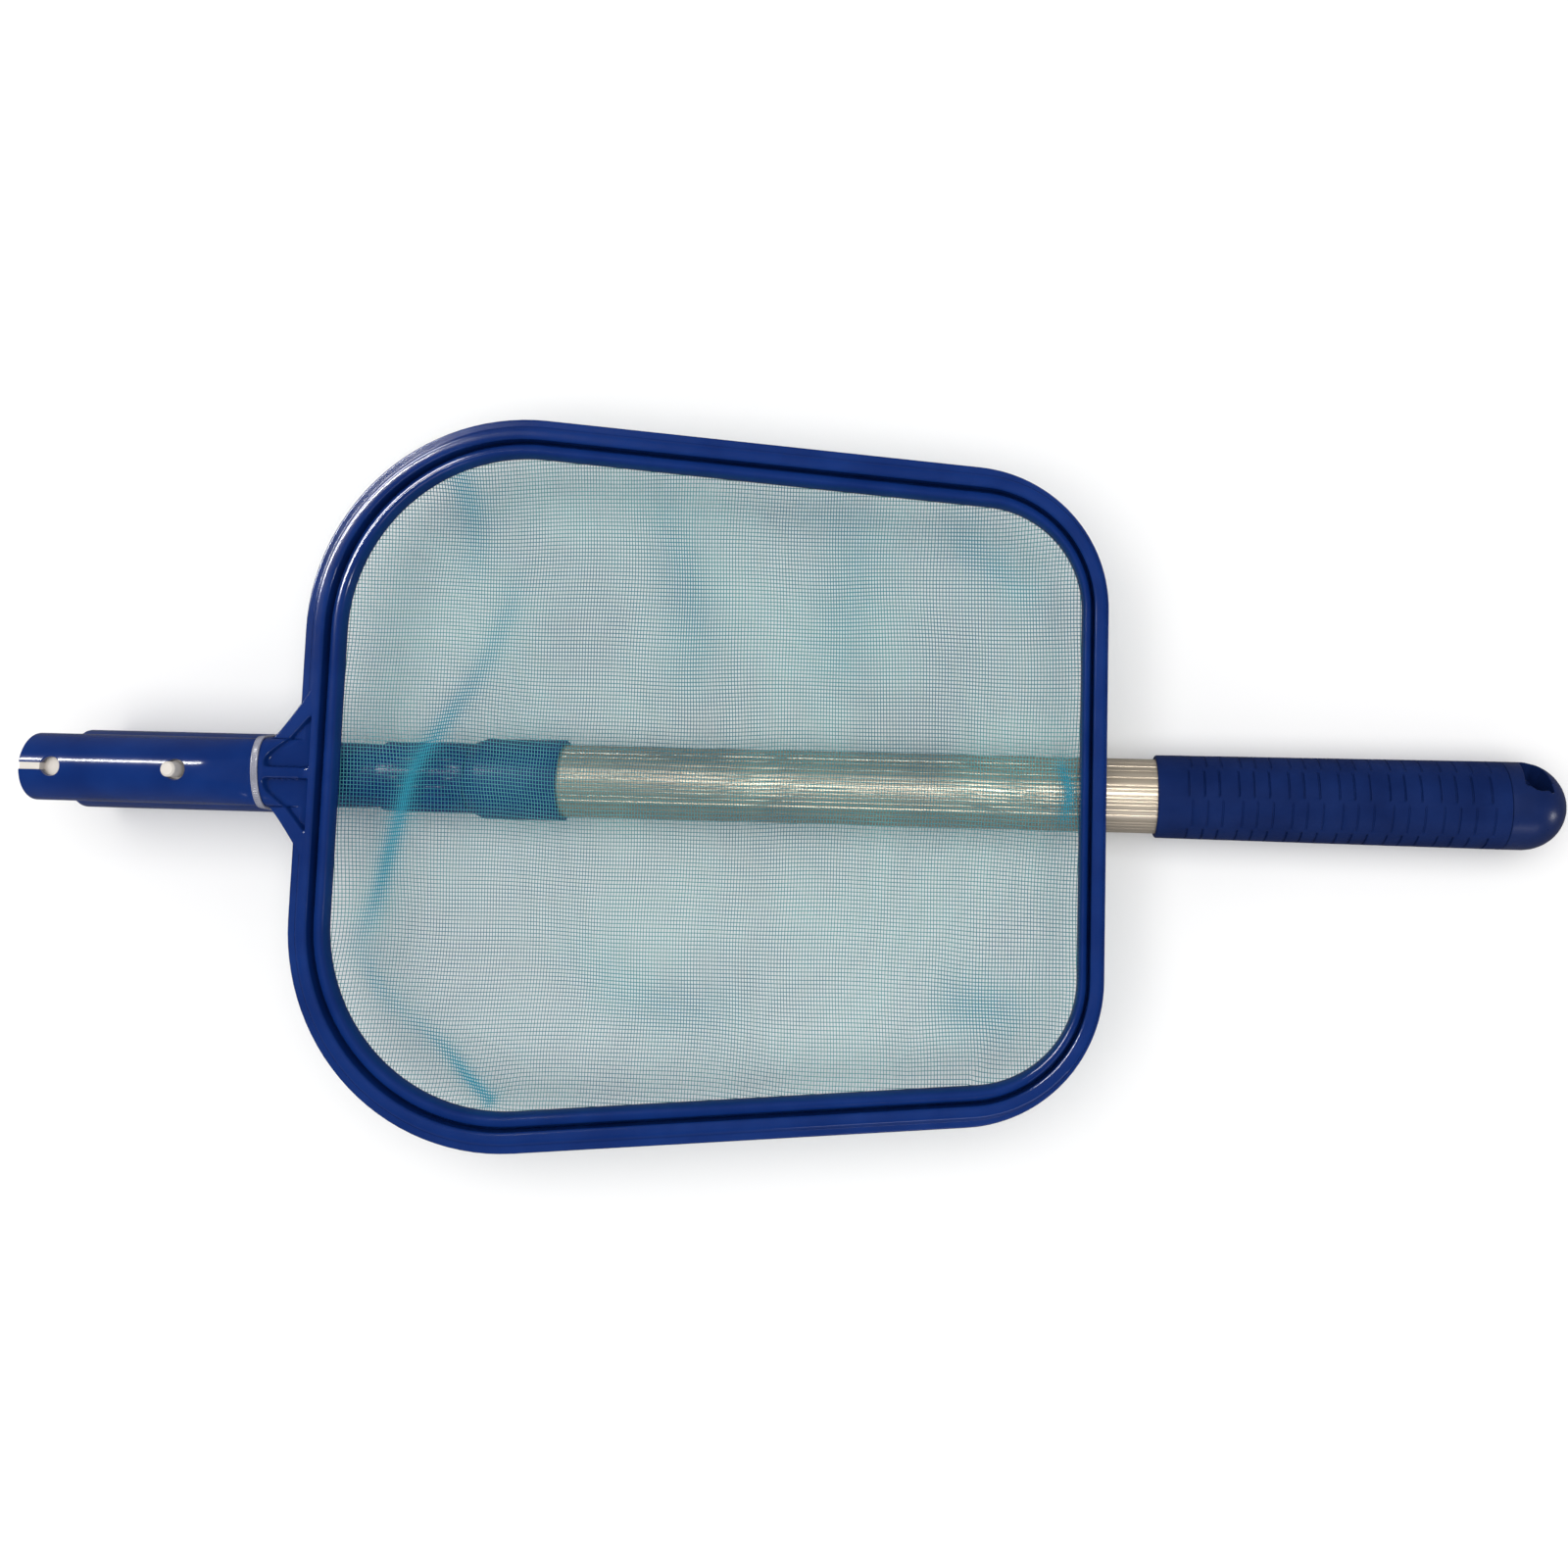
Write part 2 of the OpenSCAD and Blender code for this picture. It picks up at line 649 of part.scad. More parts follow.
module end_cap() {
  color([0.08, 0.14, 0.36])
    difference() {
      union() {
        px(grip_x1 + seat, cap_x1 - cap_r, cap_r, cap_r);
        intersection() {
          translate([cap_x1 - cap_r, 0, pole_z]) sphere(r = cap_r);
          px(cap_x1 - cap_r - eps, cap_x1 + 1, cap_r + 1, cap_r + 1);
        }
        px(grip_x1 - plug_len, grip_x1 + 1, tube_ri - seat, tube_ri - seat);
      }
      translate([grip_x1 + hang_x, 0, pole_z])
        rotate([-hang_turn, 0, 0])
          translate([0, 0, -cap_r - 2])
            cylinder(h = 2 * cap_r + 4, d = hang_d);
    }
}

skimmer_frame();
retaining_ring();
net();
snap_clip();
snap_button();
cable_tie();
tie_head();
tip_fitting();
inner_tube();
guide_bush();
lock_nut();
lock_jaw();
lock_collar();
outer_tube();
grip();
end_cap();
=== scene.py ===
"""Leaf skimmer net tied on its telescopic pole: the looks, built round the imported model.

Sizes are millimetres in the CAD's frame, and mesh_of() turns them into metres. Lights, floor and
camera are in metres.
"""
import math

import bmesh
import bpy
import numpy as np
from mathutils import Matrix, Vector


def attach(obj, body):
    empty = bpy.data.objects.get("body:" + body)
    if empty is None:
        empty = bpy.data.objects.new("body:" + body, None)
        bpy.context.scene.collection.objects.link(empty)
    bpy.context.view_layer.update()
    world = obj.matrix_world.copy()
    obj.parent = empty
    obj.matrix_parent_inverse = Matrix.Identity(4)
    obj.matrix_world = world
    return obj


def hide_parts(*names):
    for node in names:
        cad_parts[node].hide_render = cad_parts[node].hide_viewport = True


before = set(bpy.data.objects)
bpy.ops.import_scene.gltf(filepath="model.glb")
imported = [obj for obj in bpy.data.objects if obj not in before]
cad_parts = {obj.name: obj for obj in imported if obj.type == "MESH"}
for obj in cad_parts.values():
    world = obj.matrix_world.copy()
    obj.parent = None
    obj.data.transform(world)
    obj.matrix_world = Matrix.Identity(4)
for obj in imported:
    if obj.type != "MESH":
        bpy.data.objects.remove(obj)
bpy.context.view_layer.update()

MM = 0.001
TAU = 2 * math.pi
SHARP = 30.0  # edges sharper than this many degrees are shaded as edges
TOUCH = 0.05  # gap between pieces that touch

# ---------------------------------------------------------------- sizes of the pole
POLE_Z = 18.4
TIP_X0, TIP_X1, TIP_R, TIP_CONE = -323.0, -212.0, 17.5, 2.0
TIP_HOLE_X, TIP_HOLE_R = -293.0, 3.7
SOCKET_X1, SOCKET_R, SOCKET_WALL, DRAIN_R = -222.0, 14.8, 3.0, 4.0
NECK_X1, NECK_R, INNER_R = -183.0, 14.05, 12.7
NUT_X0, NUT_X1, NUT_R, NUT_RI = -181.2, -143.0, 15.45, 13.05
NUT_LEAD = 1.7  # how much further than its solid the nut reaches towards the neck
NUT_FLUTES, NUT_FLUTE_DEPTH = 24, 0.35
SPIGOT_X1, SPIGOT_R, SPIGOT_GAP = -121.0, 14.325, 0.35
COLLAR_X0, COLLAR_X1, COLLAR_R, COLLAR_CHAMFER = -142.7, -101.0, 17.8, 6.2
TUBE_X0, TUBE_X1, TUBE_R, TUBE_RI = -132.0, 296.0, 15.875, 14.675
GRIP_X0, GRIP_X1, GRIP_R0 = 156.4, 299.2, 17.65
CAP_X1, CAP_R, CAP_PLUG = 325.6, 18.4, 18.0
HANG_X, HANG_TURN, HANG_R = 310.7, math.radians(37), 5.0

# ---------------------------------------------------------------- sizes of the head
HANDLE_X0, HANDLE_X1, HANDLE_Z, HANDLE_R, BORE_R = -325.6, -250.0, 50.6, 14.5, 12.1
SLIT_HALF, RELIEF_X, RELIEF_R = 1.5, -311.6, 4.3
BUTTON_X, BUTTON_HOLE_R = -256.2, 4.5
RIM_Z, BAR_Z0, NET_Z = 49.6, 36.6, 40.95
CORNER1, CORNER1_R = (-117.5, 62.2), 93.5
CORNER2, CORNER2_R = (73.5, 76.0), 60.5
# the bar is narrower at the leading edge: how far each inset is pushed back out there
LEAD_INSET, LEAD_X = (0, 4.2, 8.4, 10.3, 16.4), (0, 3, 3, 3.4, 5.5)
# the gusset's plate, where the handle's slope meets the rim, and where the bar ends beside it
PLATE_X0, GUSSET_X1, RIM_X = -222.2, -203.9, -206.8
BAR_STOP_X, BAR_STOP_HALF = -204.9, 26.6
POCKET_X0, POCKET_X1, POCKET_RIB, POCKET_CORNER = -221.0, -205.0, 2.3, 1.5
POCKET_Y0, POCKET_SLOPE = 7.0, (23 - 7) / (221 - 207.2)  # its outer side flares from y 7 to y 23
POCKET_FLOOR = 39.6
TIE_X, TIE_W, TIE_T = -224.3, 3.0, 0.85
TIE_SKEW = 0.07  # how far the tie leans along X for each mm across


# ---------------------------------------------------------------- materials
def material(name, colors, rough, scale=60.0, stretch=(1, 1, 1), bump=0.05, bump_scale=900.0, **sockets):
    """A procedural finish: two colours mixed by noise, uneven roughness and a fine bump."""
    mat = bpy.data.materials.new(name)
    mat.use_nodes = True
    nodes, links = mat.node_tree.nodes, mat.node_tree.links
    shader = nodes["Principled BSDF"]
    coord = nodes.new("ShaderNodeTexCoord")
    mapping = nodes.new("ShaderNodeMapping")
    mapping.inputs["Scale"].default_value = stretch
    links.new(coord.outputs["Object"], mapping.inputs["Vector"])

    def noise(size, detail=3.0):
        node = nodes.new("ShaderNodeTexNoise")
        node.inputs["Scale"].default_value = size
        node.inputs["Detail"].default_value = detail
        links.new(mapping.outputs["Vector"], node.inputs["Vector"])
        return node.outputs["Fac"]

    ramp = nodes.new("ShaderNodeValToRGB")
    for stop, position, color in zip(ramp.color_ramp.elements, (0.35, 0.65), colors):
        stop.position, stop.color = position, (*color, 1)
    links.new(noise(scale), ramp.inputs["Fac"])
    links.new(ramp.outputs["Color"], shader.inputs["Base Color"])
    spread = nodes.new("ShaderNodeMapRange")
    spread.inputs["To Min"].default_value, spread.inputs["To Max"].default_value = rough
    links.new(noise(scale * 3), spread.inputs["Value"])
    links.new(spread.outputs["Result"], shader.inputs["Roughness"])
    grain = nodes.new("ShaderNodeBump")
    grain.inputs["Strength"].default_value = bump
    grain.inputs["Distance"].default_value = 0.4 * MM
    links.new(noise(bump_scale, 2.0), grain.inputs["Height"])
    links.new(grain.outputs["Normal"], shader.inputs["Normal"])
    for key, value in sockets.items():
        shader.inputs[key.replace("_", " ")].default_value = value
    return mat


BLUE = material(
    "blue_moulding", ((0.0035, 0.022, 0.135), (0.005, 0.029, 0.165)), (0.11, 0.19), 45, bump=0.04
)
POLE_BLUE = material(
    "pole_moulding", ((0.003, 0.024, 0.145), (0.0045, 0.033, 0.185)), (0.26, 0.38), 45, bump=0.08
)
VINYL = material(
    "grip_vinyl", ((0.004, 0.0145, 0.080), (0.006, 0.020, 0.102)), (0.40, 0.54), 55,
    bump=0.25, Specular_IOR_Level=0.06,
)
CAP_VINYL = material(
    "cap_vinyl", ((0.005, 0.0155, 0.078), (0.007, 0.020, 0.096)), (0.24, 0.34), 55,
    bump=0.1, Specular_IOR_Level=0.22,
)
METAL = material(
    "pole_aluminium", ((0.45, 0.39, 0.305), (0.58, 0.505, 0.40)), (0.30, 0.42), 420,
    stretch=(0.004, 1, 1), bump=0.012, Metallic=0.5,
)
NYLON = material("clip_nylon", ((0.66, 0.615, 0.56), (0.73, 0.68, 0.62)), (0.35, 0.5), 60, bump=0.1)
TIE = material("tie_nylon", ((0.25, 0.255, 0.31), (0.31, 0.315, 0.38)), (0.22, 0.34), 200, bump=0.1)
BUSH = material("dark_bush", ((0.012, 0.012, 0.014), (0.02, 0.02, 0.023)), (0.5, 0.65), 60, bump=0.1)
THREAD = material(
    "net_mesh", ((0.026, 0.195, 0.255), (0.085, 0.350, 0.375)), (0.34, 0.5), 22,
    bump=0.05, Specular_IOR_Level=0.3,
)


def paint_crease_sheen(mat, color):
    """Threads along a crease take a deeper cyan, from the mesh's own crease values: painted sheen for
    the streak a fold shows, while the fold itself is in the threads' shape.
    """
    nodes, links = mat.node_tree.nodes, mat.node_tree.links
    base_color = nodes["Principled BSDF"].inputs["Base Color"]
    plain = base_color.links[0].from_socket
    attribute = nodes.new("ShaderNodeAttribute")
    attribute.attribute_name = "crease"
    mix = nodes.new("ShaderNodeMix")
    mix.data_type = "RGBA"
    links.new(attribute.outputs["Fac"], mix.inputs["Factor"])
    links.new(plain, mix.inputs["A"])
    # the painted sheen's cyan
    mix.inputs["B"].default_value = (*color, 1)
    links.new(mix.outputs["Result"], base_color)


# threads along the creases get a painted cyan sheen
paint_crease_sheen(THREAD, (0.025, 0.30, 0.42))


# ---------------------------------------------------------------- mesh helpers
def add_object(name, data):
    """A new object in the scene."""
    obj = bpy.data.objects.new(name, data)
    bpy.context.scene.collection.objects.link(obj)
    return obj


def mesh_of(name, verts, faces, sharp=SHARP, creased=None):
    """An object of verts in millimetres. With crease values its verts stay as they are given."""
    mesh = bpy.data.meshes.new(name)
    mesh.from_pydata((np.asarray(verts, float) * MM).tolist(), [], faces)
    if creased is not None:
        values = mesh.attributes.new("crease", "FLOAT", "POINT").data
        values.foreach_set("value", np.asarray(creased, np.float32))
    else:
        edit = bmesh.new()
        edit.from_mesh(mesh)
        loose = [v for v in edit.verts if not v.link_faces]
        bmesh.ops.delete(edit, geom=loose, context="VERTS")
        bmesh.ops.remove_doubles(edit, verts=edit.verts, dist=0.002 * MM)
        bmesh.ops.recalc_face_normals(edit, faces=edit.faces)
        edit.to_mesh(mesh)
        edit.free()
    mesh.shade_smooth()
    mesh.set_sharp_from_angle(angle=math.radians(sharp))
    return add_object(name, mesh)


def dress(obj, body, slot, mat, *nodes):
    """Gives a piece its material, and says its body and the CAD nodes it replaces; slot is not used."""
    obj.data.materials.clear()
    obj.data.materials.append(mat)
    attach(obj, body)
    if nodes:
        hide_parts(*nodes)
    return obj


def add_bevel(obj, width, segments, angle):
    bevel = obj.modifiers.new("bevel", "BEVEL")
    bevel.width, bevel.segments = width * MM, segments
    bevel.limit_method, bevel.angle_limit = "ANGLE", math.radians(angle)
    return bevel


def smoothstep(lo, hi, x):
    """0 at lo, 1 at hi, with a smooth rise between them. lo may be the larger one."""
    t = np.clip((x - lo) / (hi - lo), 0, 1)
    return t * t * (3 - 2 * t)


def smooth_max(a, b, k):
    """The larger of a and b, blended where they are within k of each other."""
    h = np.clip(0.5 + 0.5 * (a - b) / k, 0, 1)
    return b * (1 - h) + a * h + k * h * (1 - h)


def degrees_off(degrees, at):
    """How far each angle is from at, the short way round."""
    return np.abs((degrees - at + 180) % 360 - 180)


def fillet(points, steps=4):
    """A closed outline of (x, r, radius) with each corner rounded by its radius."""
    out = []
    for i, (x, r, radius) in enumerate(points):
        p = np.array((x, r), float)
        a = np.array(points[i - 1][:2], float) - p
        b = np.array(points[(i + 1) % len(points)][:2], float) - p
        length_a, length_b = np.linalg.norm(a), np.linalg.norm(b)
        if radius <= 0:
            out.append(p)
            continue
        a, b = a / length_a, b / length_b
        half = math.acos(max(-1, min(1, float(a @ b)))) / 2
        if half > math.pi / 2 - 0.02:
            out.append(p)
            continue
        cut_back = min(radius / math.tan(half), 0.48 * min(length_a, length_b))
        centre = p + (a + b) / np.linalg.norm(a + b) * (cut_back * math.tan(half)) / math.sin(half)
        u, v, arc = p + a * cut_back - centre, p + b * cut_back - centre, math.pi - 2 * half
        for k in range(steps + 1):
            t = k / steps
            out.append(centre + (math.sin((1 - t) * arc) * u + math.sin(t * arc) * v) / math.sin(arc))
    return np.array(out)


def circle(x, y, r, count):
    """Points round a circle in a plane."""
    a = TAU * np.arange(count) / count
    return np.stack([x + r * np.cos(a), y + r * np.sin(a)], 1)


def ring_faces(rings, points, wrap_rings=True):
    """Quads between neighbouring closed rings of points."""
    faces = []
    for i in range(rings if wrap_rings else rings - 1):
        here, ahead = i * points, (i + 1) % rings * points
        for j in range(points):
            k = (j + 1) % points
            faces.append((here + j, here + k, ahead + k, ahead + j))
    return faces


def capped_faces(rings, points):
    """The faces of a row of rings that is closed at both ends."""
    first, last = tuple(range(points))[::-1], tuple(range((rings - 1) * points, rings * points))
    return ring_faces(rings, points, False) + [first, last]


def lathe(name, outline, segments=160, shape=None, sharp=SHARP):
    """A closed outline of (x, r) turned round the pole's axis. shape(x, r, angle) may change r."""
    outline = np.asarray(outline, float)
    x = np.tile(outline[:, 0], segments)
    r = np.tile(outline[:, 1], segments)
    a = np.repeat(np.arange(segments) * TAU / segments, len(outline))
    if shape is not None:
        r = shape(x, r, a)
    verts = np.stack([x, r * np.sin(a), POLE_Z + r * np.cos(a)], 1)
    return mesh_of(name, verts, ring_faces(segments, len(outline)), sharp)


def cut(obj, *cutters):
    """Takes the cutters out of obj and deletes them."""
    for cutter in cutters:
        mod = obj.modifiers.new("cut", "BOOLEAN")
        mod.operation, mod.solver, mod.object = "DIFFERENCE", "EXACT", cutter
    scene_now = bpy.context.evaluated_depsgraph_get()
    done = bpy.data.meshes.new_from_object(obj.evaluated_get(scene_now))
    obj.modifiers.clear()
    obj.data = done
    for cutter in cutters:
        bpy.data.objects.remove(cutter)
    done.shade_smooth()
    done.set_sharp_from_angle(angle=math.radians(SHARP))


def radial_cutter(name, outline, radius, depth, turn, chamfer):
    """A cutter through the pole's wall. outline is (x, arc length), and it widens to a chamfer."""
    clear = 0.6  # how far it stands out of the wall
    outline = np.asarray(outline, float)
    along = np.roll(outline, -1, 0) - np.roll(outline, 1, 0)
    along /= np.linalg.norm(along, axis=1)[:, None]
    normal = np.stack([along[:, 1], -along[:, 0]], 1)
    if ((outline - outline.mean(0)) * normal).sum() < 0:
        normal = -normal
    levels = ((radius - depth, 0), (radius - chamfer, 0), (radius + clear, chamfer + clear))
    rings = []
    for level, grow in levels:
        p = outline + normal * grow
        a = p[:, 1] / radius + turn
        rings.append(np.stack([p[:, 0], level * np.sin(a), POLE_Z + level * np.cos(a)], 1))
    return mesh_of(name, np.concatenate(rings), capped_faces(len(levels), len(outline)))


# ---------------------------------------------------------------- the head's plan
def plan(inset, arc=28, line=31):
    """The closed outline of the head, inset from its edge."""
    lead = float(np.interp(inset, LEAD_INSET, LEAD_X))
    r1, r2 = CORNER1_R - inset, CORNER2_R - inset
    c1, c2 = np.array(CORNER1), np.array([CORNER2[0] + lead, CORNER2[1]])
    d = c1 - c2
    lean = math.atan2(d[1], d[0]) % TAU - math.acos((r2 - r1) / np.linalg.norm(d))
    n = np.array([math.cos(lean), math.sin(lean)])
    # half of it: leading edge, corner, straight side, the large corner, the edge at the handle
    half = [np.array([c2[0] + r2, c2[1] * k / line]) for k in range(line)]
    for k in range(arc):
        half.append(c2 + r2 * np.array([math.cos(lean * k / arc), math.sin(lean * k / arc)]))
    for k in range(2 * line):
        half.append((c2 + r2 * n) * (1 - k / (2 * line)) + (c1 + r1 * n) * k / (2 * line))
    for k in range(arc):
        a = lean + (math.pi - lean) * k / arc
        half.append(c1 + r1 * np.array([math.cos(a), math.sin(a)]))
    half += [np.array([c1[0] - r1, c1[1] * (1 - k / line)]) for k in range(line + 1)]
    half = np.array(half)
    other = half[1:-1][::-1] * (1, -1)
    return np.concatenate([half, other])


def sweep(name, profile, stop=None):
    """A closed profile of (inset, z) carried round the head's plan, up to x = stop beside the gusset."""
    rings = []
    for inset, z in profile:
        p = plan(inset)
        if stop is not None:
            p[(p[:, 0] < stop) & (np.abs(p[:, 1]) < BAR_STOP_HALF), 0] = stop
        rings.append(np.column_stack([p, np.full(len(p), z)]))
    return mesh_of(name, np.concatenate(rings), ring_faces(len(profile), len(rings[0])), 40)


# from the outer bottom edge up over the step and the rim, down to the net's ledge and back under it
BAR = (
    (0.6, 36.6), (0, 37.2), (0, 46.9), (0.15, 47.35), (0.5, 47.68), (0.9, 47.8), (1.05, 47.8),
    (2.9, 47.8), (3.0, 47.8), (3.3, 48.0), (3.7, 48.6), (4.2, 49.15), (4.8, 49.45), (5.5, 49.58),
    (6.4, 49.6), (7.3, 49.6), (8.0, 49.55), (8.6, 49.3), (8.95, 48.8), (9.0, 48.2), (9.0, 42.2),
    (9.2, 41.2), (9.6, 40.7), (10, 40.6), (15.3, 40.6), (15.6, 40.3), (15.5, 39.8), (13.9, 36.9),
    (13.5, 36.6),
)
# from the inner edge's foot up its slope to the crown, and down to the net
RING = (
    (10.3, 41.3), (10.3, 44.6), (10.5, 45.5), (10.9, 46.2), (11.4, 46.6), (12.1, 46.9), (12.8, 47.1),
    (13.5, 47.25), (14.1, 47.15), (14.7, 46.7), (15.2, 46.0), (15.7, 44.9), (16.1, 43.5), (16.4, 42.0),
    (16.3, 41.45), (15.9, 41.3),
)
dress(sweep("frame_bar", BAR, BAR_STOP_X), "head", "blue_moulding", BLUE, "skimmer_frame")
dress(sweep("ring_band", RING), "head", "blue_moulding", BLUE, "retaining_ring")


# ---------------------------------------------------------------- handle and gusset
def handle_openings(x, s):
    """Signed distance from the slit, its relief hole and the button's hole. s is the arc length."""
    slit = np.maximum(np.abs(s) - SLIT_HALF, x - RELIEF_X)
    relief = np.hypot(x - RELIEF_X, s) - RELIEF_R
    return np.minimum(np.minimum(slit, relief), np.hypot(x - BUTTON_X, s) - BUTTON_HOLE_R)


def openings_slope(x, s):
    """The direction straight away from the nearest opening."""
    dx = handle_openings(x + 0.01, s) - handle_openings(x - 0.01, s)
    ds = handle_openings(x, s + 0.01) - handle_openings(x, s - 0.01)
    size = np.hypot(dx, ds) + 1e-12
    return dx / size, ds / size


def handle_tube():
    """The handle's tube. Its openings are cut by moving the nearest grid points onto their edges."""
    step, chamfer = 0.45, 0.35
    fine_columns, coarse_columns = 28, 64
    xs = np.append(np.arange(HANDLE_X0 + 0.5, HANDLE_X1 - step / 2, step), HANDLE_X1)
    lip = ((0.0, 0.55), (0.08, 0.24), (0.24, 0.06))
    outer = [(HANDLE_X0 + dx, HANDLE_R - dr) for dx, dr in lip] + [(x, HANDLE_R) for x in xs]
    inner = [(HANDLE_X0 + dx, BORE_R + dr) for dx, dr in lip] + [(x, BORE_R) for x in xs]
    fine = np.arange(-fine_columns, fine_columns + 1) * step / HANDLE_R
    coarse = np.linspace(fine[-1], TAU + fine[0], coarse_columns)[1:-1]
    angles = np.concatenate([fine, coarse])
    n, m = len(outer), len(angles)
    gx = np.repeat([p[0] for p in outer], m)
    gs = np.tile(HANDLE_R * angles, n)

    off = handle_openings(gx, gs) - chamfer
    near = np.abs(off) < 0.53 * step
    for _ in range(4):
        dx, ds = openings_slope(gx, gs)
        move = np.where(near, handle_openings(gx, gs) - chamfer, 0)
        gx, gs = gx - dx * move, gs - ds * move
    # each grid point is inside an opening (-1), on its edge (0) or on the wall (1)
    state = np.where(near, 0, np.sign(off)).astype(int).reshape(n, m)
    dx, ds = openings_slope(gx, gs)
    mid_x, mid_s = gx - dx * chamfer, gs - ds * chamfer

    def place(x, s, r):
        return np.stack([x, r * np.sin(s / HANDLE_R), HANDLE_Z + r * np.cos(s / HANDLE_R)], 1)

    # the outer wall, the inner wall and the chamfers' lower edges, each of size points
    r_out, r_in = (np.repeat([p[1] for p in side], m) for side in (outer, inner))
    levels = place(gx, gs, r_out), place(gx, gs, r_in), place(mid_x, mid_s, r_out - chamfer)
    size = n * m
    faces, used = [], {}
    for i in range(n - 1):
        for j in range(m):
            quad = [(i, j), (i, (j + 1) % m), (i + 1, (j + 1) % m), (i + 1, j)]
            states = [state[q] for q in quad]
            if min(states) < 0:
                quad = [q for q, t in zip(quad, states) if t >= 0] if max(states) > 0 else []
            elif max(states) == 0:
                mean = np.mean([(gx[a * m + b], gs[a * m + b]) for a, b in quad], axis=0)
                quad = quad if handle_openings(mean[0], mean[1]) > chamfer else []
            if len(quad) > 2:
                face = [a * m + b for a, b in quad]
                faces += [face, [k + size for k in face]]
                for a, b in zip(face, face[1:] + face[:1]):
                    used[(min(a, b), max(a, b))] = used.get((min(a, b), max(a, b)), 0) + 1
    # an edge with one face is an end of the tube, or the edge of an opening with its chamfer
    for (a, b), count in used.items():
        if count == 1 and (a // m == b // m == n - 1 or a // m == b // m == 0):
            faces.append([a, b, b + size, a + size])
        elif count == 1:
            faces.append([a, b, b + 2 * size, a + 2 * size])
            faces.append([a + 2 * size, b + 2 * size, b + size, a + size])
    # the chamfer's end at the handle's mouth
    for j in range(m):
        if state[0, j] == 0:
            faces.append([j, j + 2 * size, j + size])
    return mesh_of("handle_tube", np.concatenate(levels), [tuple(f) for f in faces], 32)


dress(handle_tube(), "head", "blue_moulding", BLUE, "skimmer_frame")


def crown_line():
    """Fine steps along X, and the height of the handle's ridge at each."""
    # level, down to the seat for the tie, and down to the rim
    knots = ((-260, 65.1), (-240, 65.1), (-226.4, 58.6), (PLATE_X0, 58.6), (RIM_X, RIM_Z), (-200, 45.6))
    x = np.arange(-262, -196, 0.1)
    crown = np.interp(x, *zip(*knots))

    def smoothed(reach):
        width = 2 * reach + 1
        return np.convolve(np.pad(crown, reach, mode="edge"), np.ones(width) / width, "valid")

    near_seat = smoothstep(-232, -227, x)
    return x, smoothed(80) * (1 - near_seat) + smoothed(12) * near_seat


def pocket_distance(x, y):
    """Signed distance from the edge of the gusset's two pockets, which have rounded corners."""
    flared = POCKET_Y0 + POCKET_SLOPE * (x - POCKET_X0)
    sides = np.stack(
        [
            POCKET_RIB - np.abs(y), (np.abs(y) - flared) / math.hypot(1, POCKET_SLOPE),
            np.full_like(y, POCKET_X0 - x), np.full_like(y, x - POCKET_X1),
        ]
    )
    grown = sides + POCKET_CORNER
    return np.sqrt((np.clip(grown, 0, None) ** 2).sum(0)) + np.minimum(grown.max(0), 0) - POCKET_CORNER


def gusset_top(x, across, half, ridge):
    """Heights over the gusset at x: the ridge's arch, the plate with its rounded edge, the pockets."""
    edge, sunk = 1.1, 0.03  # it lies a little under the bar's rim, so that the two don't flicker
    y = across * half
    dome = np.sqrt(np.clip(1 - (y / HANDLE_R) ** 2, 0, 1))
    top = np.where(np.abs(y) < HANDLE_R, HANDLE_Z + (ridge - HANDLE_Z) * dome, 40.0)
    if x > PLATE_X0:
        top = smooth_max(top, np.full_like(top, RIM_Z), 0.5)
        if ridge < RIM_Z + 0.6:
            top = np.maximum(top.clip(max=max(ridge, RIM_Z)), RIM_Z)
    inward = (1 - np.abs(across)) * half
    lip = edge - np.sqrt(np.clip(edge**2 - (edge - np.minimum(inward, edge)) ** 2, 0, None))
    top = top - lip * float(smoothstep(PLATE_X0, PLATE_X0 + 1.2, x))
    pocket = pocket_distance(x, y)
    rounding = 0.35 * smoothstep(0.55, 0.0, pocket)
    depth = smoothstep(0.05, -0.5, pocket)
    floor = np.minimum(top - 3.0, max(ridge - 4.2, POCKET_FLOOR))
    return (top - sunk - rounding) * (1 - depth) + floor * depth


def gusset_underside(x, half, end_z):
    """The handle's half round, which turns into the plate's sides and flat bottom."""
    f = np.linspace(0, 1, 62)[1:-1]
    round_y, round_z = HANDLE_R * np.cos(math.pi * f), HANDLE_Z - HANDLE_R * np.sin(math.pi * f)
    deep = end_z - BAR_Z0
    along = f * (2 * deep + 2 * half)
    first, last = along < deep, along > deep + 2 * half
    box_y = np.where(first, half, np.where(last, -half, half - (along - deep)))
    box_z = np.where(first, end_z - along, np.where(last, BAR_Z0 + along - deep - 2 * half, BAR_Z0))
    b = float(smoothstep(-223.4, -221.2, x))
    return round_y * (1 - b) + box_y * b, round_z * (1 - b) + box_z * b


def gusset():
    """The handle's end slopes down to the rim, over a plate that flares out, with two pockets."""
    spread = 0.86  # the points across lie closer together at the edges
    xs = np.arange(HANDLE_X1, GUSSET_X1 + 0.01, 0.31)
    xs[-1] = GUSSET_X1
    across = np.sin(np.linspace(-1, 1, 181) * math.pi / 2 * spread) / math.sin(math.pi / 2 * spread)
    crown_x, crown_z = crown_line()
    sections = []
    for x in xs:
        t = np.clip((x - PLATE_X0) / (RIM_X - PLATE_X0), 0, 1.2)
        half = HANDLE_R + 20.5 * t**1.15
        top = gusset_top(x, across, half, float(np.interp(x, crown_x, crown_z)))
        low_y, low_z = gusset_underside(x, half, top[-1])
        y, z = np.concatenate([across * half, low_y]), np.concatenate([top, low_z])
        sections.append(np.stack([np.full_like(y, x), y, z], 1))
    return mesh_of("gusset", np.concatenate(sections), capped_faces(len(xs), len(sections[0])), 50)


dress(gusset(), "head", "blue_moulding", BLUE, "skimmer_frame")


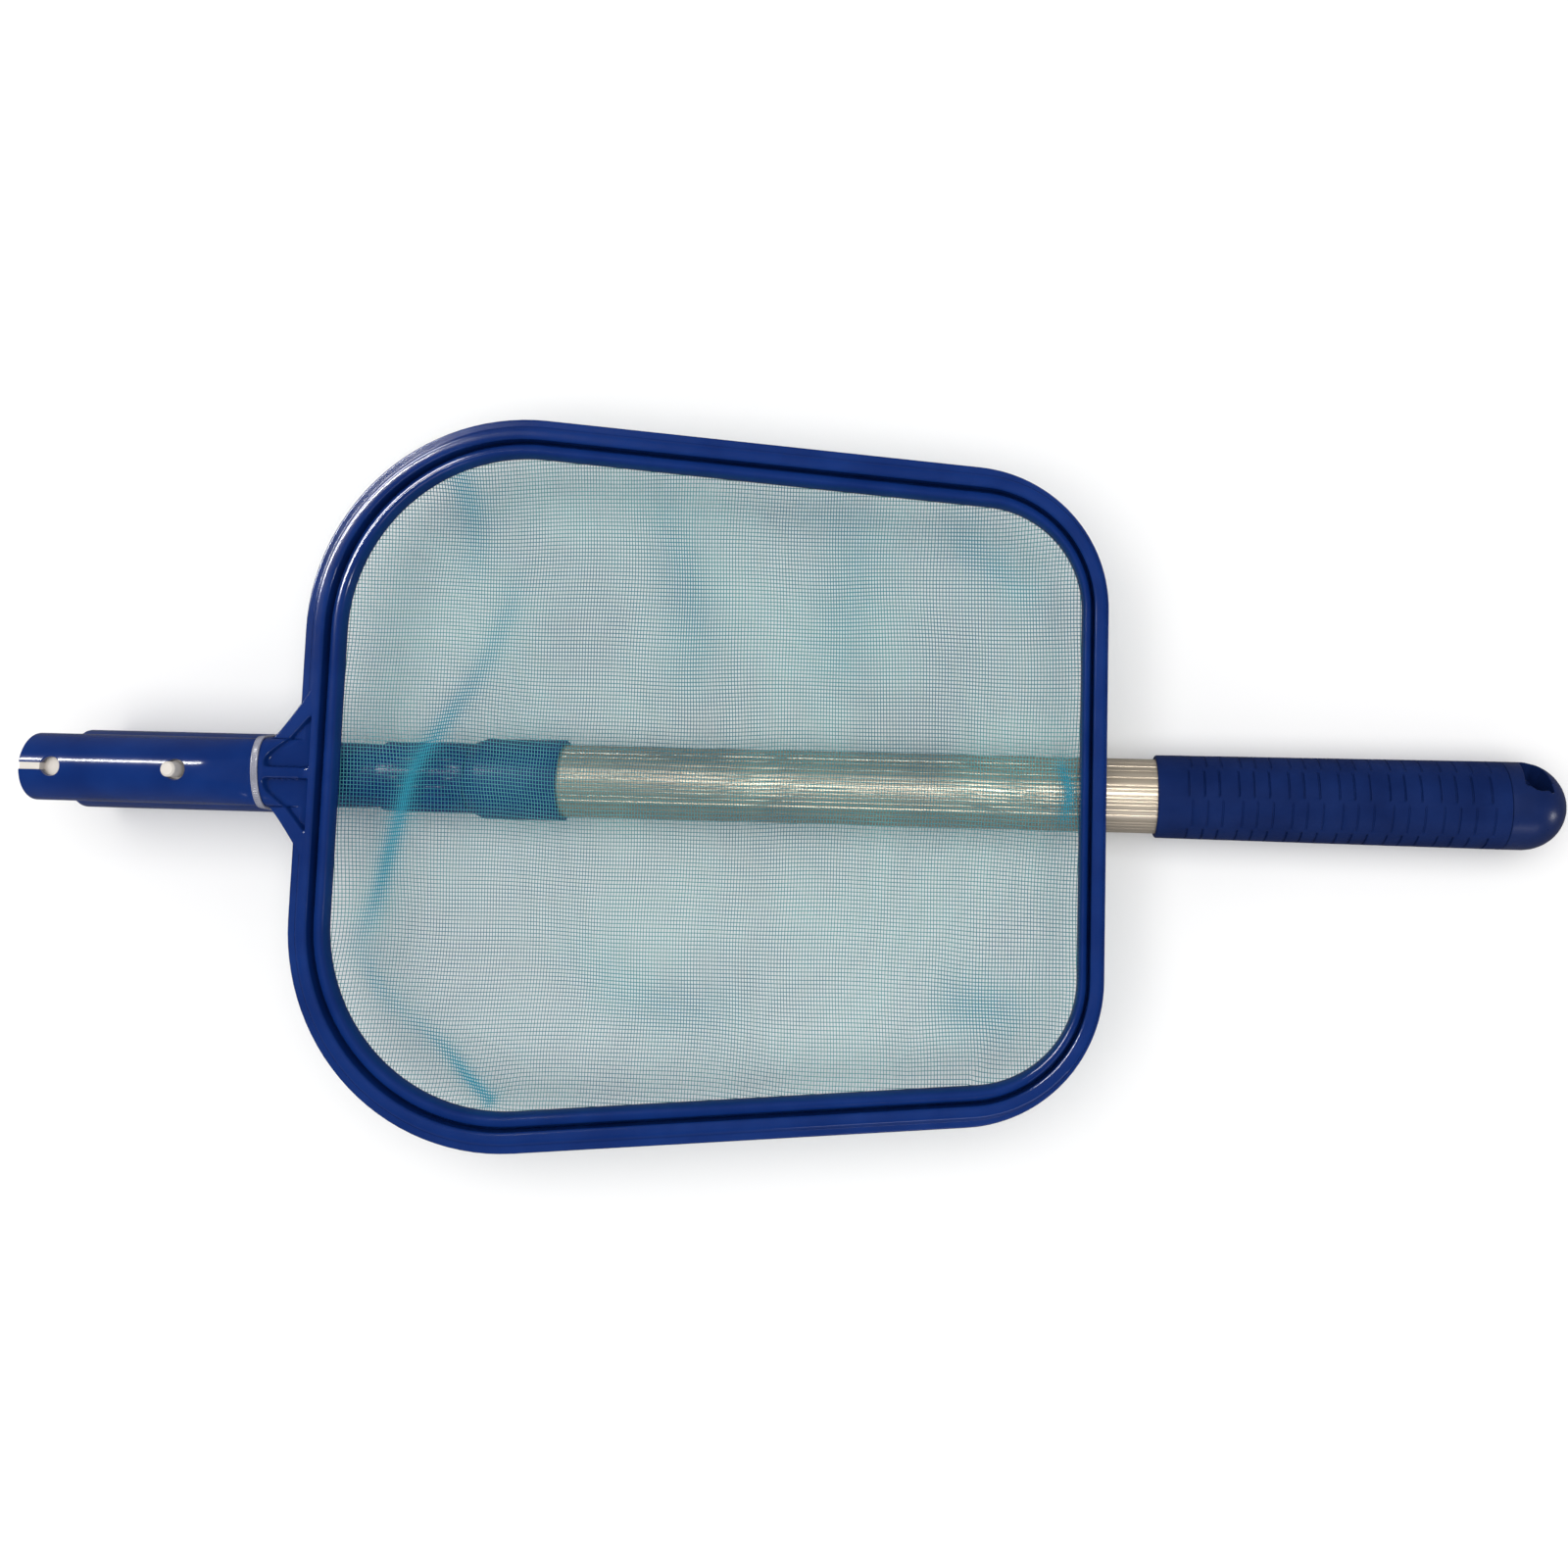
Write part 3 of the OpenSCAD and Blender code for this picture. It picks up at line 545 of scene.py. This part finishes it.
# ---------------------------------------------------------------- cable tie
def tie_path():
    """The strap's middle line in (y, z): over the handle's slope, down, round the socket and up."""
    gap, low_r = TIE_T / 2 + TOUCH, TIP_R + TIE_T / 2 + TOUCH
    arch_high, top_r = 8.0 + gap, HANDLE_R + gap
    lean = math.asin((low_r - top_r) / (HANDLE_Z - POLE_Z))
    upper = -top_r * math.cos(lean), HANDLE_Z + top_r * math.sin(lean)
    lower = -low_r * math.cos(lean), POLE_Z + low_r * math.sin(lean)

    def side(t):
        return upper[0] * (1 - t) + lower[0] * t, upper[1] * (1 - t) + lower[1] * t

    points = []
    for a in np.linspace(-math.pi / 2 + 0.02, math.pi / 2 - 0.02, 60):
        points.append((-top_r * math.sin(a), HANDLE_Z + arch_high * math.cos(a)))
    points += [side(t) for t in np.linspace(0.06, 0.98, 20)]
    for a in np.linspace(math.pi - lean, TAU + lean, 90):
        points.append((low_r * math.cos(a), POLE_Z + low_r * math.sin(a)))
    points += [(-y, z) for y, z in map(side, np.linspace(0.98, 0.06, 20))]
    return np.array(points)


def tie_band():
    """A toothed strap over the handle's sloped end and round the tip fitting, a little askew."""
    spacing, tooth, tooth_depth = 0.27, 1.08, 0.24
    points = tie_path()
    closed = np.vstack([points, points[:1]])
    s = np.concatenate([[0], np.cumsum(np.linalg.norm(np.diff(closed, axis=0), axis=1))])
    count = int(s[-1] / spacing)
    u = np.arange(count) * s[-1] / count
    p = np.stack([np.interp(u, s, closed[:, 0]), np.interp(u, s, closed[:, 1])], 1)
    along = np.roll(p, -1, 0) - np.roll(p, 1, 0)
    along /= np.linalg.norm(along, axis=1)[:, None]
    out = np.stack([-along[:, 1], along[:, 0]], 1)
    if (out * (p - p.mean(0))).sum() < 0:
        out = -out
    teeth = (u % tooth) / tooth
    # the strap's section, with a shallow track for the teeth between its two rails
    side, low, high = TIE_W / 2, -TIE_T / 2, TIE_T / 2
    section = fillet(
        [
            (-side, low, 0.2), (side, low, 0.2), (side, high, 0.3), (0.9, high, 0.08),
            (0.8, high - 0.04, 0), (-0.8, high - 0.04, 0), (-0.9, high, 0.08), (-side, high, 0.3),
        ],
        3,
    )
    rows = []
    for across, height in section:
        in_track = abs(across) < 0.85 and height > 0
        h = height - (tooth_depth * teeth if in_track else 0)
        x = TIE_X + across - TIE_SKEW * p[:, 0]
        rows.append(np.stack([x, p[:, 0] + out[:, 0] * h, p[:, 1] + out[:, 1] * h], 1))
    verts = np.stack(rows, 1).reshape(-1, 3)
    return mesh_of("tie_band", verts, ring_faces(count, len(section)), 35)


dress(tie_band(), "head", "tie_nylon", TIE, "cable_tie")


def tie_lock():
    """The tie's ratchet head under the socket, and the cut end of the strap coming out of it."""
    turn = math.radians(46)
    base = TIP_R + TIE_T + TOUCH
    x0, x1, half, high = TIE_X - 2.4, TIE_X + 2.4, 2.45, 4.0
    skew = -TIE_SKEW * (base + 2) * math.sin(turn)
    edit = bmesh.new()

    def block(size, centre):
        verts = bmesh.ops.create_cube(edit, size=1)["verts"]
        bmesh.ops.scale(edit, vec=size, verts=verts)
        bmesh.ops.translate(edit, vec=centre, verts=verts)

    block((x1 - x0, 2 * half, high), ((x0 + x1) / 2 + skew, 0, base + high / 2))
    block((TIE_W, 4.6, 0.9), (TIE_X + skew, 4.0, base + 1.9))
    mesh = bpy.data.meshes.new("tie_lock")
    edit.to_mesh(mesh)
    edit.free()
    for v in mesh.vertices:
        y, z = v.co.y, -v.co.z
        v.co.y = y * math.cos(turn) - z * math.sin(turn)
        v.co.z = POLE_Z + y * math.sin(turn) + z * math.cos(turn)
        v.co *= MM
    mesh.flip_normals()
    obj = add_object("tie_lock", mesh)
    add_bevel(obj, 0.35, 3, 30)
    mesh.shade_smooth()
    return obj


dress(tie_lock(), "head", "tie_nylon", TIE, "tie_head")


# ---------------------------------------------------------------- pole pieces
def tip_socket():
    """The socket with its two snap holes, the wall behind it and the neck on the inner tube."""
    wall_x, inner_r = SOCKET_X1 + SOCKET_WALL, INNER_R + TOUCH
    outline = [
        (TIP_X0, SOCKET_R, 0.5), (TIP_X0, TIP_R, 0.8), (TIP_X1, TIP_R, 0.8),
        (TIP_X1 + TIP_CONE, NECK_R + 0.4, 0.6), (NECK_X1, NECK_R, 0.5), (NECK_X1, inner_r, 0),
        (wall_x, inner_r, 0), (wall_x, DRAIN_R, 0), (SOCKET_X1, DRAIN_R, 0), (SOCKET_X1, SOCKET_R, 0.6),
    ]
    obj = lathe("tip_socket", fillet(outline), 192)
    hole = circle(TIP_HOLE_X, 0, TIP_HOLE_R, 40)
    cut(obj, *(radial_cutter("snap", hole, TIP_R, 6, turn, 0.35) for turn in (0.0, math.pi)))
    return obj


dress(tip_socket(), "head", "blue_moulding", POLE_BLUE, "tip_fitting")


def nut_shape(x, r, a):
    """Shallow finger flutes round the nut's middle."""
    inside = smoothstep(NUT_X0 + 5, NUT_X0 + 8, x) * smoothstep(NUT_X1 - 4, NUT_X1 - 7, x)
    wave = np.clip(np.cos(a * NUT_FLUTES) - 0.55, 0, 1) / 0.45
    return np.where(r > NUT_R - 0.3, r - NUT_FLUTE_DEPTH * wave * inside, r)


nut_points = [(NUT_X0 - NUT_LEAD, NUT_RI, 0.4), (NUT_X0 - NUT_LEAD, NUT_R, 0.9)]
nut_points += [(x, NUT_R, 0) for x in np.linspace(NUT_X0 + 4, NUT_X1 - 3, 16)]
nut_points += [
    (NUT_X1, NUT_R, 0.5), (NUT_X1, SPIGOT_R, 0), (SPIGOT_X1, SPIGOT_R, 0.4), (SPIGOT_X1, NUT_RI, 0.3),
]
twist_nut = lathe("twist_nut", fillet(nut_points), 288, shape=nut_shape)
dress(twist_nut, "twist_lock", "blue_moulding", POLE_BLUE, "lock_nut")

collar_points = [
    (COLLAR_X0, SPIGOT_R + SPIGOT_GAP, 0.2), (COLLAR_X0, NUT_R, 0.5),
    (COLLAR_X0 + COLLAR_CHAMFER, COLLAR_R, 1.6), (COLLAR_X1, COLLAR_R, 0.7),
    (COLLAR_X1, TUBE_R + TOUCH, 0.3), (TUBE_X0 - 0.5, TUBE_R + TOUCH, 0),
    (TUBE_X0 - 0.5, SPIGOT_R + SPIGOT_GAP, 0),
]
collar_sleeve = lathe("collar_sleeve", fillet(collar_points), 192)
dress(collar_sleeve, "grip_section", "blue_moulding", POLE_BLUE, "lock_collar")

# flutes in degrees from the top, with their strength: the photographed ones, and more like them
TOP_FLUTES = (-52, -46, -31.5, -22.6, -14.2, -7.9, -1.8, 7.1, 14.2, 27.5, 40.2, 50.3)
STRONG_FLUTES = (-31.5, 27.5, 50.3)
FLUTE_DEPTH, FLUTE_CROWN = 0.3, 0.05
rng = np.random.default_rng(7)
flutes = [(a, 1.0 if a in STRONG_FLUTES else 0.55) for a in TOP_FLUTES]
flutes += [(a + rng.uniform(-2.2, 2.2), rng.choice([0.5, 0.6, 1.0])) for a in np.arange(60, 306, 8.8)]


def fluted(x, r, a):
    """Narrow grooves between gently crowned lands, as drawn tube has."""
    degrees = np.degrees(a)
    all_at = np.array([at for at, _ in flutes]) % 360
    nearest = np.min(degrees_off(degrees[:, None], all_at[None, :]), axis=1)
    crown = FLUTE_CROWN * smoothstep(0, 4.5, nearest)
    groove = np.zeros_like(degrees)
    for at, strength in flutes:
        groove = np.maximum(groove, strength * smoothstep(1.5, 0.4, degrees_off(degrees, at)))
    return np.where(r > TUBE_R - 0.2, r - FLUTE_CROWN + crown - FLUTE_DEPTH * groove, r)


tube_points = [
    (TUBE_X0, TUBE_RI, 0), (TUBE_X0, TUBE_R, 0.15), (TUBE_X1, TUBE_R, 0.15), (TUBE_X1, TUBE_RI, 0),
]
pole_tube = lathe("pole_tube", fillet(tube_points, 2), 900, shape=fluted, sharp=45)
dress(pole_tube, "grip_section", "pole_aluminium", METAL, "outer_tube")

# grip: eight rows of short grooves, set in threes, every other row a little further on and shallower
GROOVE_ROWS, FIRST_ROW, GROOVE_DEPTH = 8, 21, 0.7
GROOVE_GAPS = (
    0, 6.3, 6.3, 7.8, 6.2, 6.4, 7.7, 6.2, 6.3, 7.8, 6.3, 6.2, 7.8, 6.3, 6.4, 7.7, 6.3, 6.3, 7.8,
)
ODD_ROW_SHIFT, ODD_ROW_DEPTH = 1.5, 0.65
GROOVES = []
for row in range(GROOVE_ROWS):
    shift = ODD_ROW_SHIFT if row % 2 else 0
    GROOVES.append((FIRST_ROW + 45 * row, GRIP_X0 + 12.6 + np.cumsum(GROOVE_GAPS) + shift))


def grooved(x, r, a):
    """The grip's grooves, each a little off its place along the row."""
    degrees = np.degrees(a)
    groove = np.zeros_like(r)
    for row, (at, places) in enumerate(GROOVES):
        reach = smoothstep(21, 18.5, degrees_off(degrees, at)) * (ODD_ROW_DEPTH if row % 2 else 1)
        for i, place in enumerate(places):
            wobble = 0.12 * math.sin(i * 2.3 + row)
            groove = np.maximum(groove, reach * smoothstep(0.46, 0.2, np.abs(x - place - wobble)))
    return np.where(r > GRIP_R0 - 1.0, r - GROOVE_DEPTH * groove, r)


def grip_sleeve():
    """A slightly tapered sleeve, with points across each groove."""
    stations = [GRIP_X0 + 2.2]
    for place in sorted({round(float(p), 2) for _, places in GROOVES for p in places}):
        stations += [place + off for off in (-0.62, -0.4, -0.2, 0, 0.2, 0.4, 0.62)]
    points = [(GRIP_X0, TUBE_R + TOUCH, 0.2), (GRIP_X0, GRIP_R0, 0.9)]
    for x in stations:
        if x < GRIP_X1 - 1:
            points.append((x, GRIP_R0 + (CAP_R - GRIP_R0) * (x - GRIP_X0) / (GRIP_X1 - GRIP_X0), 0))
    points += [(GRIP_X1, CAP_R, 0.45), (GRIP_X1, TUBE_R + TOUCH, 0)]
    return lathe("grip_sleeve", fillet(points), 240, shape=grooved, sharp=50)


dress(grip_sleeve(), "grip_section", "grip_vinyl", VINYL, "grip")


def cap():
    """A domed cap with a hanging hole that opens in a wide scoop through the dome's shoulder."""
    plug_x, plug_r, dome_x = GRIP_X1 - CAP_PLUG, TUBE_RI - TOUCH, CAP_X1 - CAP_R
    outline = [
        (plug_x, plug_r), (GRIP_X1 - TOUCH, plug_r), (GRIP_X1 + TOUCH, CAP_R - 0.6),
        (GRIP_X1 + 0.25, CAP_R - 0.2), (GRIP_X1 + 0.7, CAP_R), (302, CAP_R), (304.5, CAP_R),
    ]
    for a in np.linspace(0, math.pi / 2, 40)[:-1]:
        outline.append((dome_x + CAP_R * math.sin(a), CAP_R * math.cos(a)))
    outline += [(CAP_X1, 0), (plug_x, 0)]
    obj = lathe("cap_dome", outline, 160, sharp=40)
    axis = Vector((0, math.sin(HANG_TURN), math.cos(HANG_TURN)))
    side = Vector((1, 0, 0))
    up = axis.cross(side)
    centre = Vector((HANG_X, 0, POLE_Z))

    def prism(name, ring, levels):
        """The ring carried along the hole's axis, through levels of (height, scale)."""
        verts = [centre + side * (x * g) + up * (y * g) + axis * h for h, g in levels for x, y in ring]
        return mesh_of(name, verts, capped_faces(len(levels), len(ring)))

    scoop = fillet(
        [
            (-5.7, -2.9, 1.0), (-4.4, 13.0, 1.5), (1.5, 15.5, 2.0), (4.3, 8.9, 2.0), (5.3, 3.0, 2.0),
            (6.3, -5.1, 1.2), (0.4, -3.3, 1.5),
        ],
        6,
    )
    cut(
        obj,
        prism("bore", circle(0, 0, HANG_R, 48), ((-CAP_R - 2, 1), (CAP_R + 2, 1))),
        prism("scoop", scoop, ((4.0, 0.72), (7.5, 0.86), (12, 0.97), (CAP_R + 4, 1.06))),
    )
    add_bevel(obj, 0.3, 2, 45).use_clamp_overlap = False
    return obj


dress(cap(), "grip_section", "grip_vinyl", CAP_VINYL, "end_cap")


# ---------------------------------------------------------------- the net
THREAD_W, THREAD_H, THREAD_LEVEL = 0.33, 0.42, 0.11
# the threads along X, then those along Y: pitch, how far out they go to each side, and a thread's ends
THREADS = ((1.65, 142, -205, 140), (1.3, 202, -145, 145))
NET_EDGE = plan(14.2, 40, 2)
# creases: (x, y, strength) along each, and half width
CREASES = (
    (
        (
            (-122, 96, 0), (-126, 72, 0.35), (-137, 44, 0.45), (-151, 20, 0.7), (-163, 1, 1.0),
            (-169, -22, 1.0), (-175, -46, 0.9), (-183, -72, 0.3), (-186, -84, 0),
        ),
        4.2,
    ),
    (((-152, 141, 0.5), (-147, 128, 0.5), (-143, 112, 0.4), (-141, 92, 0.2), (-142, 78, 0)), 5.5),
    (
        (
            (-186, -62, 0.1), (-176, -86, 0.4), (-160, -101, 0.3), (-143, -113, 0.6), (-131, -125, 1.0),
            (-121, -134, 1.0),
        ),
        3.2,
    ),
    (((62, -84, 0), (76, -88, 0.4), (92, -92, 0.4), (104, -100, 0)), 9.0),
    (((116, 12, 0.7), (119, 2, 1.0), (117, -8, 0.6)), 2.4),
    (((-60, 128, 0.1), (-48, 92, 0.3), (-43, 60, 0.25), (-50, 30, 0)), 8.0),
    (((20, 122, 0.1), (28, 96, 0.22), (22, 62, 0.2), (30, 30, 0)), 10.0),
    (((-100, -60, 0), (-72, -86, 0.22), (-40, -96, 0.25), (-8, -90, 0)), 9.0),
    (((108, 70, 0), (96, 88, 0.3), (78, 104, 0.3), (70, 118, 0.1)), 6.0),
)
CREASE_PULL, CREASE_HEIGHT = 0.40, 1.3


def smooth_line(points, per=8):
    """A Catmull-Rom curve through the points, with per steps between each two."""
    p = np.array([points[0], *points, points[-1]], float)
    out = []
    for i in range(1, len(p) - 2):
        first = p[i + 1] - p[i - 1]
        second = 2 * p[i - 1] - 5 * p[i] + 4 * p[i + 1] - p[i + 2]
        third = 3 * p[i] - p[i - 1] - 3 * p[i + 1] + p[i + 2]
        for t in (k / per for k in range(per)):
            out.append(0.5 * (2 * p[i] + first * t + second * t**2 + third * t**3))
    return np.array(out + [p[-1]])


CREASE_LINES = [(smooth_line(points), width) for points, width in CREASES]


def edge_distance(p):
    """How far each point is inside the net's own edge."""
    a, b = NET_EDGE, np.roll(NET_EDGE, -1, 0)
    along = (b - a) / np.linalg.norm(b - a, axis=1)[:, None]
    normal = np.stack([-along[:, 1], along[:, 0]], 1)
    return np.min(np.einsum("pek,ek->pe", p[:, None, :] - a[None], normal), axis=1)


def crease_fields(p):
    """Pull towards the creases, their height and how creased each point is."""
    pull, height, amount = np.zeros_like(p), np.zeros(len(p)), np.zeros(len(p))
    for line, width in CREASE_LINES:
        lo, hi = line[:, :2].min(0) - 6 * width, line[:, :2].max(0) + 6 * width
        close = np.nonzero(((p > lo) & (p < hi)).all(1))[0]
        if not len(close):
            continue
        # the nearest place on the crease, and the crease's strength there
        q = p[close]
        a, d = line[:-1, :2], np.diff(line[:, :2], axis=0)
        t = np.clip(np.einsum("pek,ek->pe", q[:, None] - a, d) / (d * d).sum(1), 0, 1)
        away = q[:, None] - (a + t[..., None] * d)
        dist = np.linalg.norm(away, axis=2)
        best = dist.argmin(1)
        row = np.arange(len(q))
        strong = line[best, 2] + t[row, best] * (line[best + 1, 2] - line[best, 2])
        off, vec = dist[row, best], away[row, best]
        ridge = np.exp(-((off / width) ** 2) / 2)
        pull[close] -= vec * (CREASE_PULL * strong * np.exp(-((off / (2 * width)) ** 2) / 2))[:, None]
        height[close] += CREASE_HEIGHT * strong * ridge
        amount[close] = np.maximum(amount[close], strong * ridge)
    return pull, height, amount


def drape(p, inside):
    """Height of the net: flat under the ring, then sagging, and lying over the pole."""
    e = np.clip(inside - 3.0, 0, None)
    sag = 3.6 * (1 - np.exp(-e / 8.0)) + 3.2 * smoothstep(0, 75, e)
    x, y = p[:, 0], p[:, 1]
    ripple = 0.35 * np.sin(x / 17 + 0.8 * np.sin(y / 29)) * np.sin(y / 21 + 1.3)
    ripple = ripple + 0.25 * np.sin((x + 1.4 * y) / 23)
    z = NET_Z - sag + ripple * smoothstep(2, 25, e)
    over = COLLAR_R + 0.75 - 2.0 * smoothstep(-147, -152, x)
    hump = POLE_Z + np.sqrt(np.clip(over**2 - y**2, 0, None))
    return smooth_max(z, hump, 1.0)


def waves(p):
    """The slight in-plane waviness of loose cloth."""
    x, y = p[:, 0], p[:, 1]
    wx = 1.1 * np.sin(y / 26 + 0.7) * np.sin(x / 61 + 1.0) + 0.35 * np.sin(y / 9.5 + x / 40)
    wy = 1.2 * np.sin(x / 31 + 0.4) * np.cos(y / 47) + 0.35 * np.sin(x / 11 + y / 35 + 1.1)
    return np.stack([wx, wy], 1)


def thread_line(s, at, along_y):
    """A thread's fine points on the draped net, their creasing and distance from the net's edge."""
    p = np.stack([np.full_like(s, at), s] if along_y else [s, np.full_like(s, at)], 1)
    pull, _, amount = crease_fields(p)
    q = p + waves(p) + pull
    inside = edge_distance(q)
    kept = np.nonzero(inside > 0)[0]
    if len(kept) < 8:
        return None
    part = slice(kept[0], kept[-1] + 1)
    q, amount, inside = q[part], amount[part], inside[part]
    _, height, _ = crease_fields(q)
    level = THREAD_LEVEL if along_y else -THREAD_LEVEL
    z = drape(q, inside) + height * smoothstep(3, 14, inside) + level
    return np.column_stack([q, z]), amount, inside


def thread_nodes(line, amount, inside, along_y):
    """The thread's nodes, closer together where it bends, and the creasing at each."""
    over_pole = np.exp(-((np.abs(line[:, 1]) - 9) ** 2) / 18) if along_y else np.zeros(len(line))
    need = 1 / 6.5 + 0.28 * np.clip(amount * 1.3, 0, 1) + 0.22 * np.exp(-inside / 7) + 0.2 * over_pole
    step = np.linalg.norm(np.diff(line[:, :2], axis=0), axis=1)
    reach = np.concatenate([[0], np.cumsum(step * (need[1:] + need[:-1]) / 2)])
    u = np.linspace(0, reach[-1], max(4, int(reach[-1]) + 1))
    return np.stack([np.interp(u, reach, v) for v in line.T], 1), np.interp(u, reach, amount)


def thread_verts(nodes, amount):
    """Three corners round each node, wider towards the photograph's top and in the creases."""
    corners = ((-THREAD_W / 2, THREAD_H * 0.4), (THREAD_W / 2, THREAD_H * 0.4), (0, -THREAD_H * 0.6))
    along = np.gradient(nodes, axis=0)
    along /= np.linalg.norm(along, axis=1)[:, None]
    sideways = np.stack([-along[:, 1], along[:, 0], np.zeros(len(nodes))], 1)
    sideways /= np.linalg.norm(sideways, axis=1)[:, None]
    upward = np.cross(along, sideways)
    denser = smoothstep(-130, 70, nodes[:, 1] + 0.3 * nodes[:, 0])
    wide = (0.84 + 0.18 * denser + 0.9 * amount)[:, None]
    return np.stack([nodes + a * wide * sideways + b * upward for a, b in corners], 1).reshape(-1, 3)


def thread_faces(count, first):
    """A closed triangular tube over count nodes, from the vertex first on."""
    base = np.arange(count - 1)[:, None] * 3 + first
    faces = []
    for k, n in ((0, 1), (1, 2), (2, 0)):
        faces += np.concatenate([base + k, base + n, base + 3 + n, base + 3 + k], 1).tolist()
    last = first + 3 * (count - 1)
    return faces + [(first, first + 2, first + 1), (last, last + 1, last + 2)]


def net():
    """The mesh, with each of its threads a closed tube."""
    verts, faces, creased, total = [], [], [], 0
    for along_y, (pitch, span, start, end) in enumerate(THREADS):
        for at in np.arange(-span, span, pitch):
            line = thread_line(np.arange(start, end, 0.6), at, along_y)
            if line is None:
                continue
            nodes, amount = thread_nodes(*line, along_y)
            verts.append(thread_verts(nodes, amount))
            creased.append(np.repeat(amount, 3))
            faces += thread_faces(len(nodes), total)
            total += 3 * len(nodes)
    return mesh_of("net_cloth", np.concatenate(verts), faces, 180, np.concatenate(creased))


cloth = dress(net(), "head", "net_mesh", THREAD, "net")

# ---------------------------------------------------------------- CAD nodes that stay
# each with its material and the width of its bevel
KEPT = {
    "snap_clip": (NYLON, 0.25), "snap_button": (NYLON, 0.3), "inner_tube": (METAL, 0),
    "guide_bush": (BUSH, 0.3), "lock_jaw": (NYLON, 0.2),
}
for node, (mat, width) in KEPT.items():
    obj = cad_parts[node]
    if not obj.material_slots:
        obj.data.materials.append(mat)
    for s in obj.material_slots:
        s.link = "OBJECT"
        s.material = mat
    if width:
        add_bevel(obj, width, 2, 40)


# ---------------------------------------------------------------- floor, light, camera
def flat_floor():
    """A pale floor that the reflections leave out."""
    half = 4
    corners = [(-half, -half, 0), (half, -half, 0), (half, half, 0), (-half, half, 0)]
    mesh = bpy.data.meshes.new("floor")
    mesh.from_pydata(corners, [], [(0, 1, 2, 3)])
    obj = add_object("floor", mesh)
    greys = ((0.92, 0.92, 0.92), (0.94, 0.94, 0.94))
    mesh.materials.append(material("floor", greys, (0.8, 0.95), 3, bump=0.0, Specular_IOR_Level=0.1))
    obj.visible_glossy = False


flat_floor()


def area_light(name, place, target, size, power, color, along=(1, 0, 0), only=(), fill=False):
    """A light that gives highlights, on the named pieces only if there are any, or else only fill."""
    data = bpy.data.lights.new(name, "AREA")
    data.shape, data.size, data.size_y, data.energy, data.color = "RECTANGLE", *size, power, color
    obj = add_object(name, data)
    obj.location = place
    back = (Vector(place) - Vector(target)).normalized()
    side = Vector(along) - back * back.dot(Vector(along))
    side.normalize()
    axes = Matrix((side, back.cross(side), back)).transposed()
    obj.matrix_world = Matrix.Translation(place) @ axes.to_4x4()
    obj.visible_glossy, obj.visible_diffuse = not fill, fill
    if only:
        lit = bpy.data.collections.new(name + "_receivers")
        for piece in only:
            lit.objects.link(bpy.data.objects[piece])
        obj.light_linking.receiver_collection = lit


area_light("overhead", (-0.1, 0.1, 2.4), (0, 0, 0), (3.0, 2.6), 56, (1.0, 0.995, 0.98), fill=True)
area_light("strip", (-1.15, 0.48, 1.15), (-1.15, 0, 0.03), (1.0, 0.035), 16.5, (1.0, 0.99, 0.97))
area_light(
    "corner", (-1.27, 0.81, 0.87), (-0.18, 0.13, 0.05), (0.95, 0.4), 33, (0.93, 0.94, 1.0),
    along=(0.57, 0.82, 0), only=("frame_bar", "ring_band"),
)
area_light("front", (0.5, -1.2, 0.7), (0.05, 0, 0.04), (1.2, 0.3), 3.0, (0.9, 0.9, 1.0))
area_light(
    "tube", (-0.05, 0.1, 1.4), (-0.05, 0, 0.02), (1.1, 0.3), 26, (1.0, 0.97, 0.92), only=("pole_tube",)
)
area_light("side", (1.72, -0.42, 0.34), (0.3, 0, 0.03), (0.14, 0.14), 4.0, (1, 1, 1))


def studio_world():
    """A dim sky for reflections, a brighter even one for fill, and a pale ground for the camera."""
    world = bpy.data.worlds.new("studio")
    bpy.context.scene.world = world
    world.use_nodes = True
    nodes, links = world.node_tree.nodes, world.node_tree.links
    direction = nodes.new("ShaderNodeTexCoord")
    parts = nodes.new("ShaderNodeSeparateXYZ")
    links.new(direction.outputs["Generated"], parts.inputs["Vector"])
    sky = nodes.new("ShaderNodeValToRGB")
    low, high = sky.color_ramp.elements
    low.position, low.color = 0.0, (0.15, 0.15, 0.17, 1)
    high.position, high.color = 0.8, (0.03, 0.03, 0.04, 1)
    links.new(parts.outputs["Z"], sky.inputs["Fac"])
    path = nodes.new("ShaderNodeLightPath")
    seen = sky.outputs["Color"]
    fill, ground = (0.50, 0.50, 0.51, 1), (0.93, 0.94, 0.95, 1)
    for ray, color in (("Is Diffuse Ray", fill), ("Is Camera Ray", ground)):
        pick = nodes.new("ShaderNodeMix")
        pick.data_type = "RGBA"
        links.new(path.outputs[ray], pick.inputs["Factor"])
        links.new(seen, pick.inputs["A"])
        pick.inputs["B"].default_value = color
        seen = pick.outputs["Result"]
    links.new(seen, nodes["Background"].inputs["Color"])


studio_world()
bpy.context.scene.view_settings.view_transform = "Standard"

# the camera, fitted to the photograph's outline, with its turn in degrees about X, Y and Z
CAMERA_PLACE, CAMERA_TURN = (0.08525, -0.00636, 0.65588), (5.175, 4.913, 1.124)
CAMERA_LENS, CAMERA_SENSOR, CAMERA_SHIFT = 33.593, 36.0, (-0.0510, -0.0719)
camera_data = bpy.data.cameras.new("camera")
camera = add_object("camera", camera_data)
camera_data.sensor_width, camera_data.lens = CAMERA_SENSOR, CAMERA_LENS
camera_data.shift_x, camera_data.shift_y = CAMERA_SHIFT
turn_x, turn_y, turn_z = (
    Matrix.Rotation(math.radians(degrees), 4, axis) for degrees, axis in zip(CAMERA_TURN, "XYZ")
)
camera.matrix_world = Matrix.Translation(CAMERA_PLACE) @ (turn_x @ turn_y @ turn_z)
bpy.context.scene.camera = camera
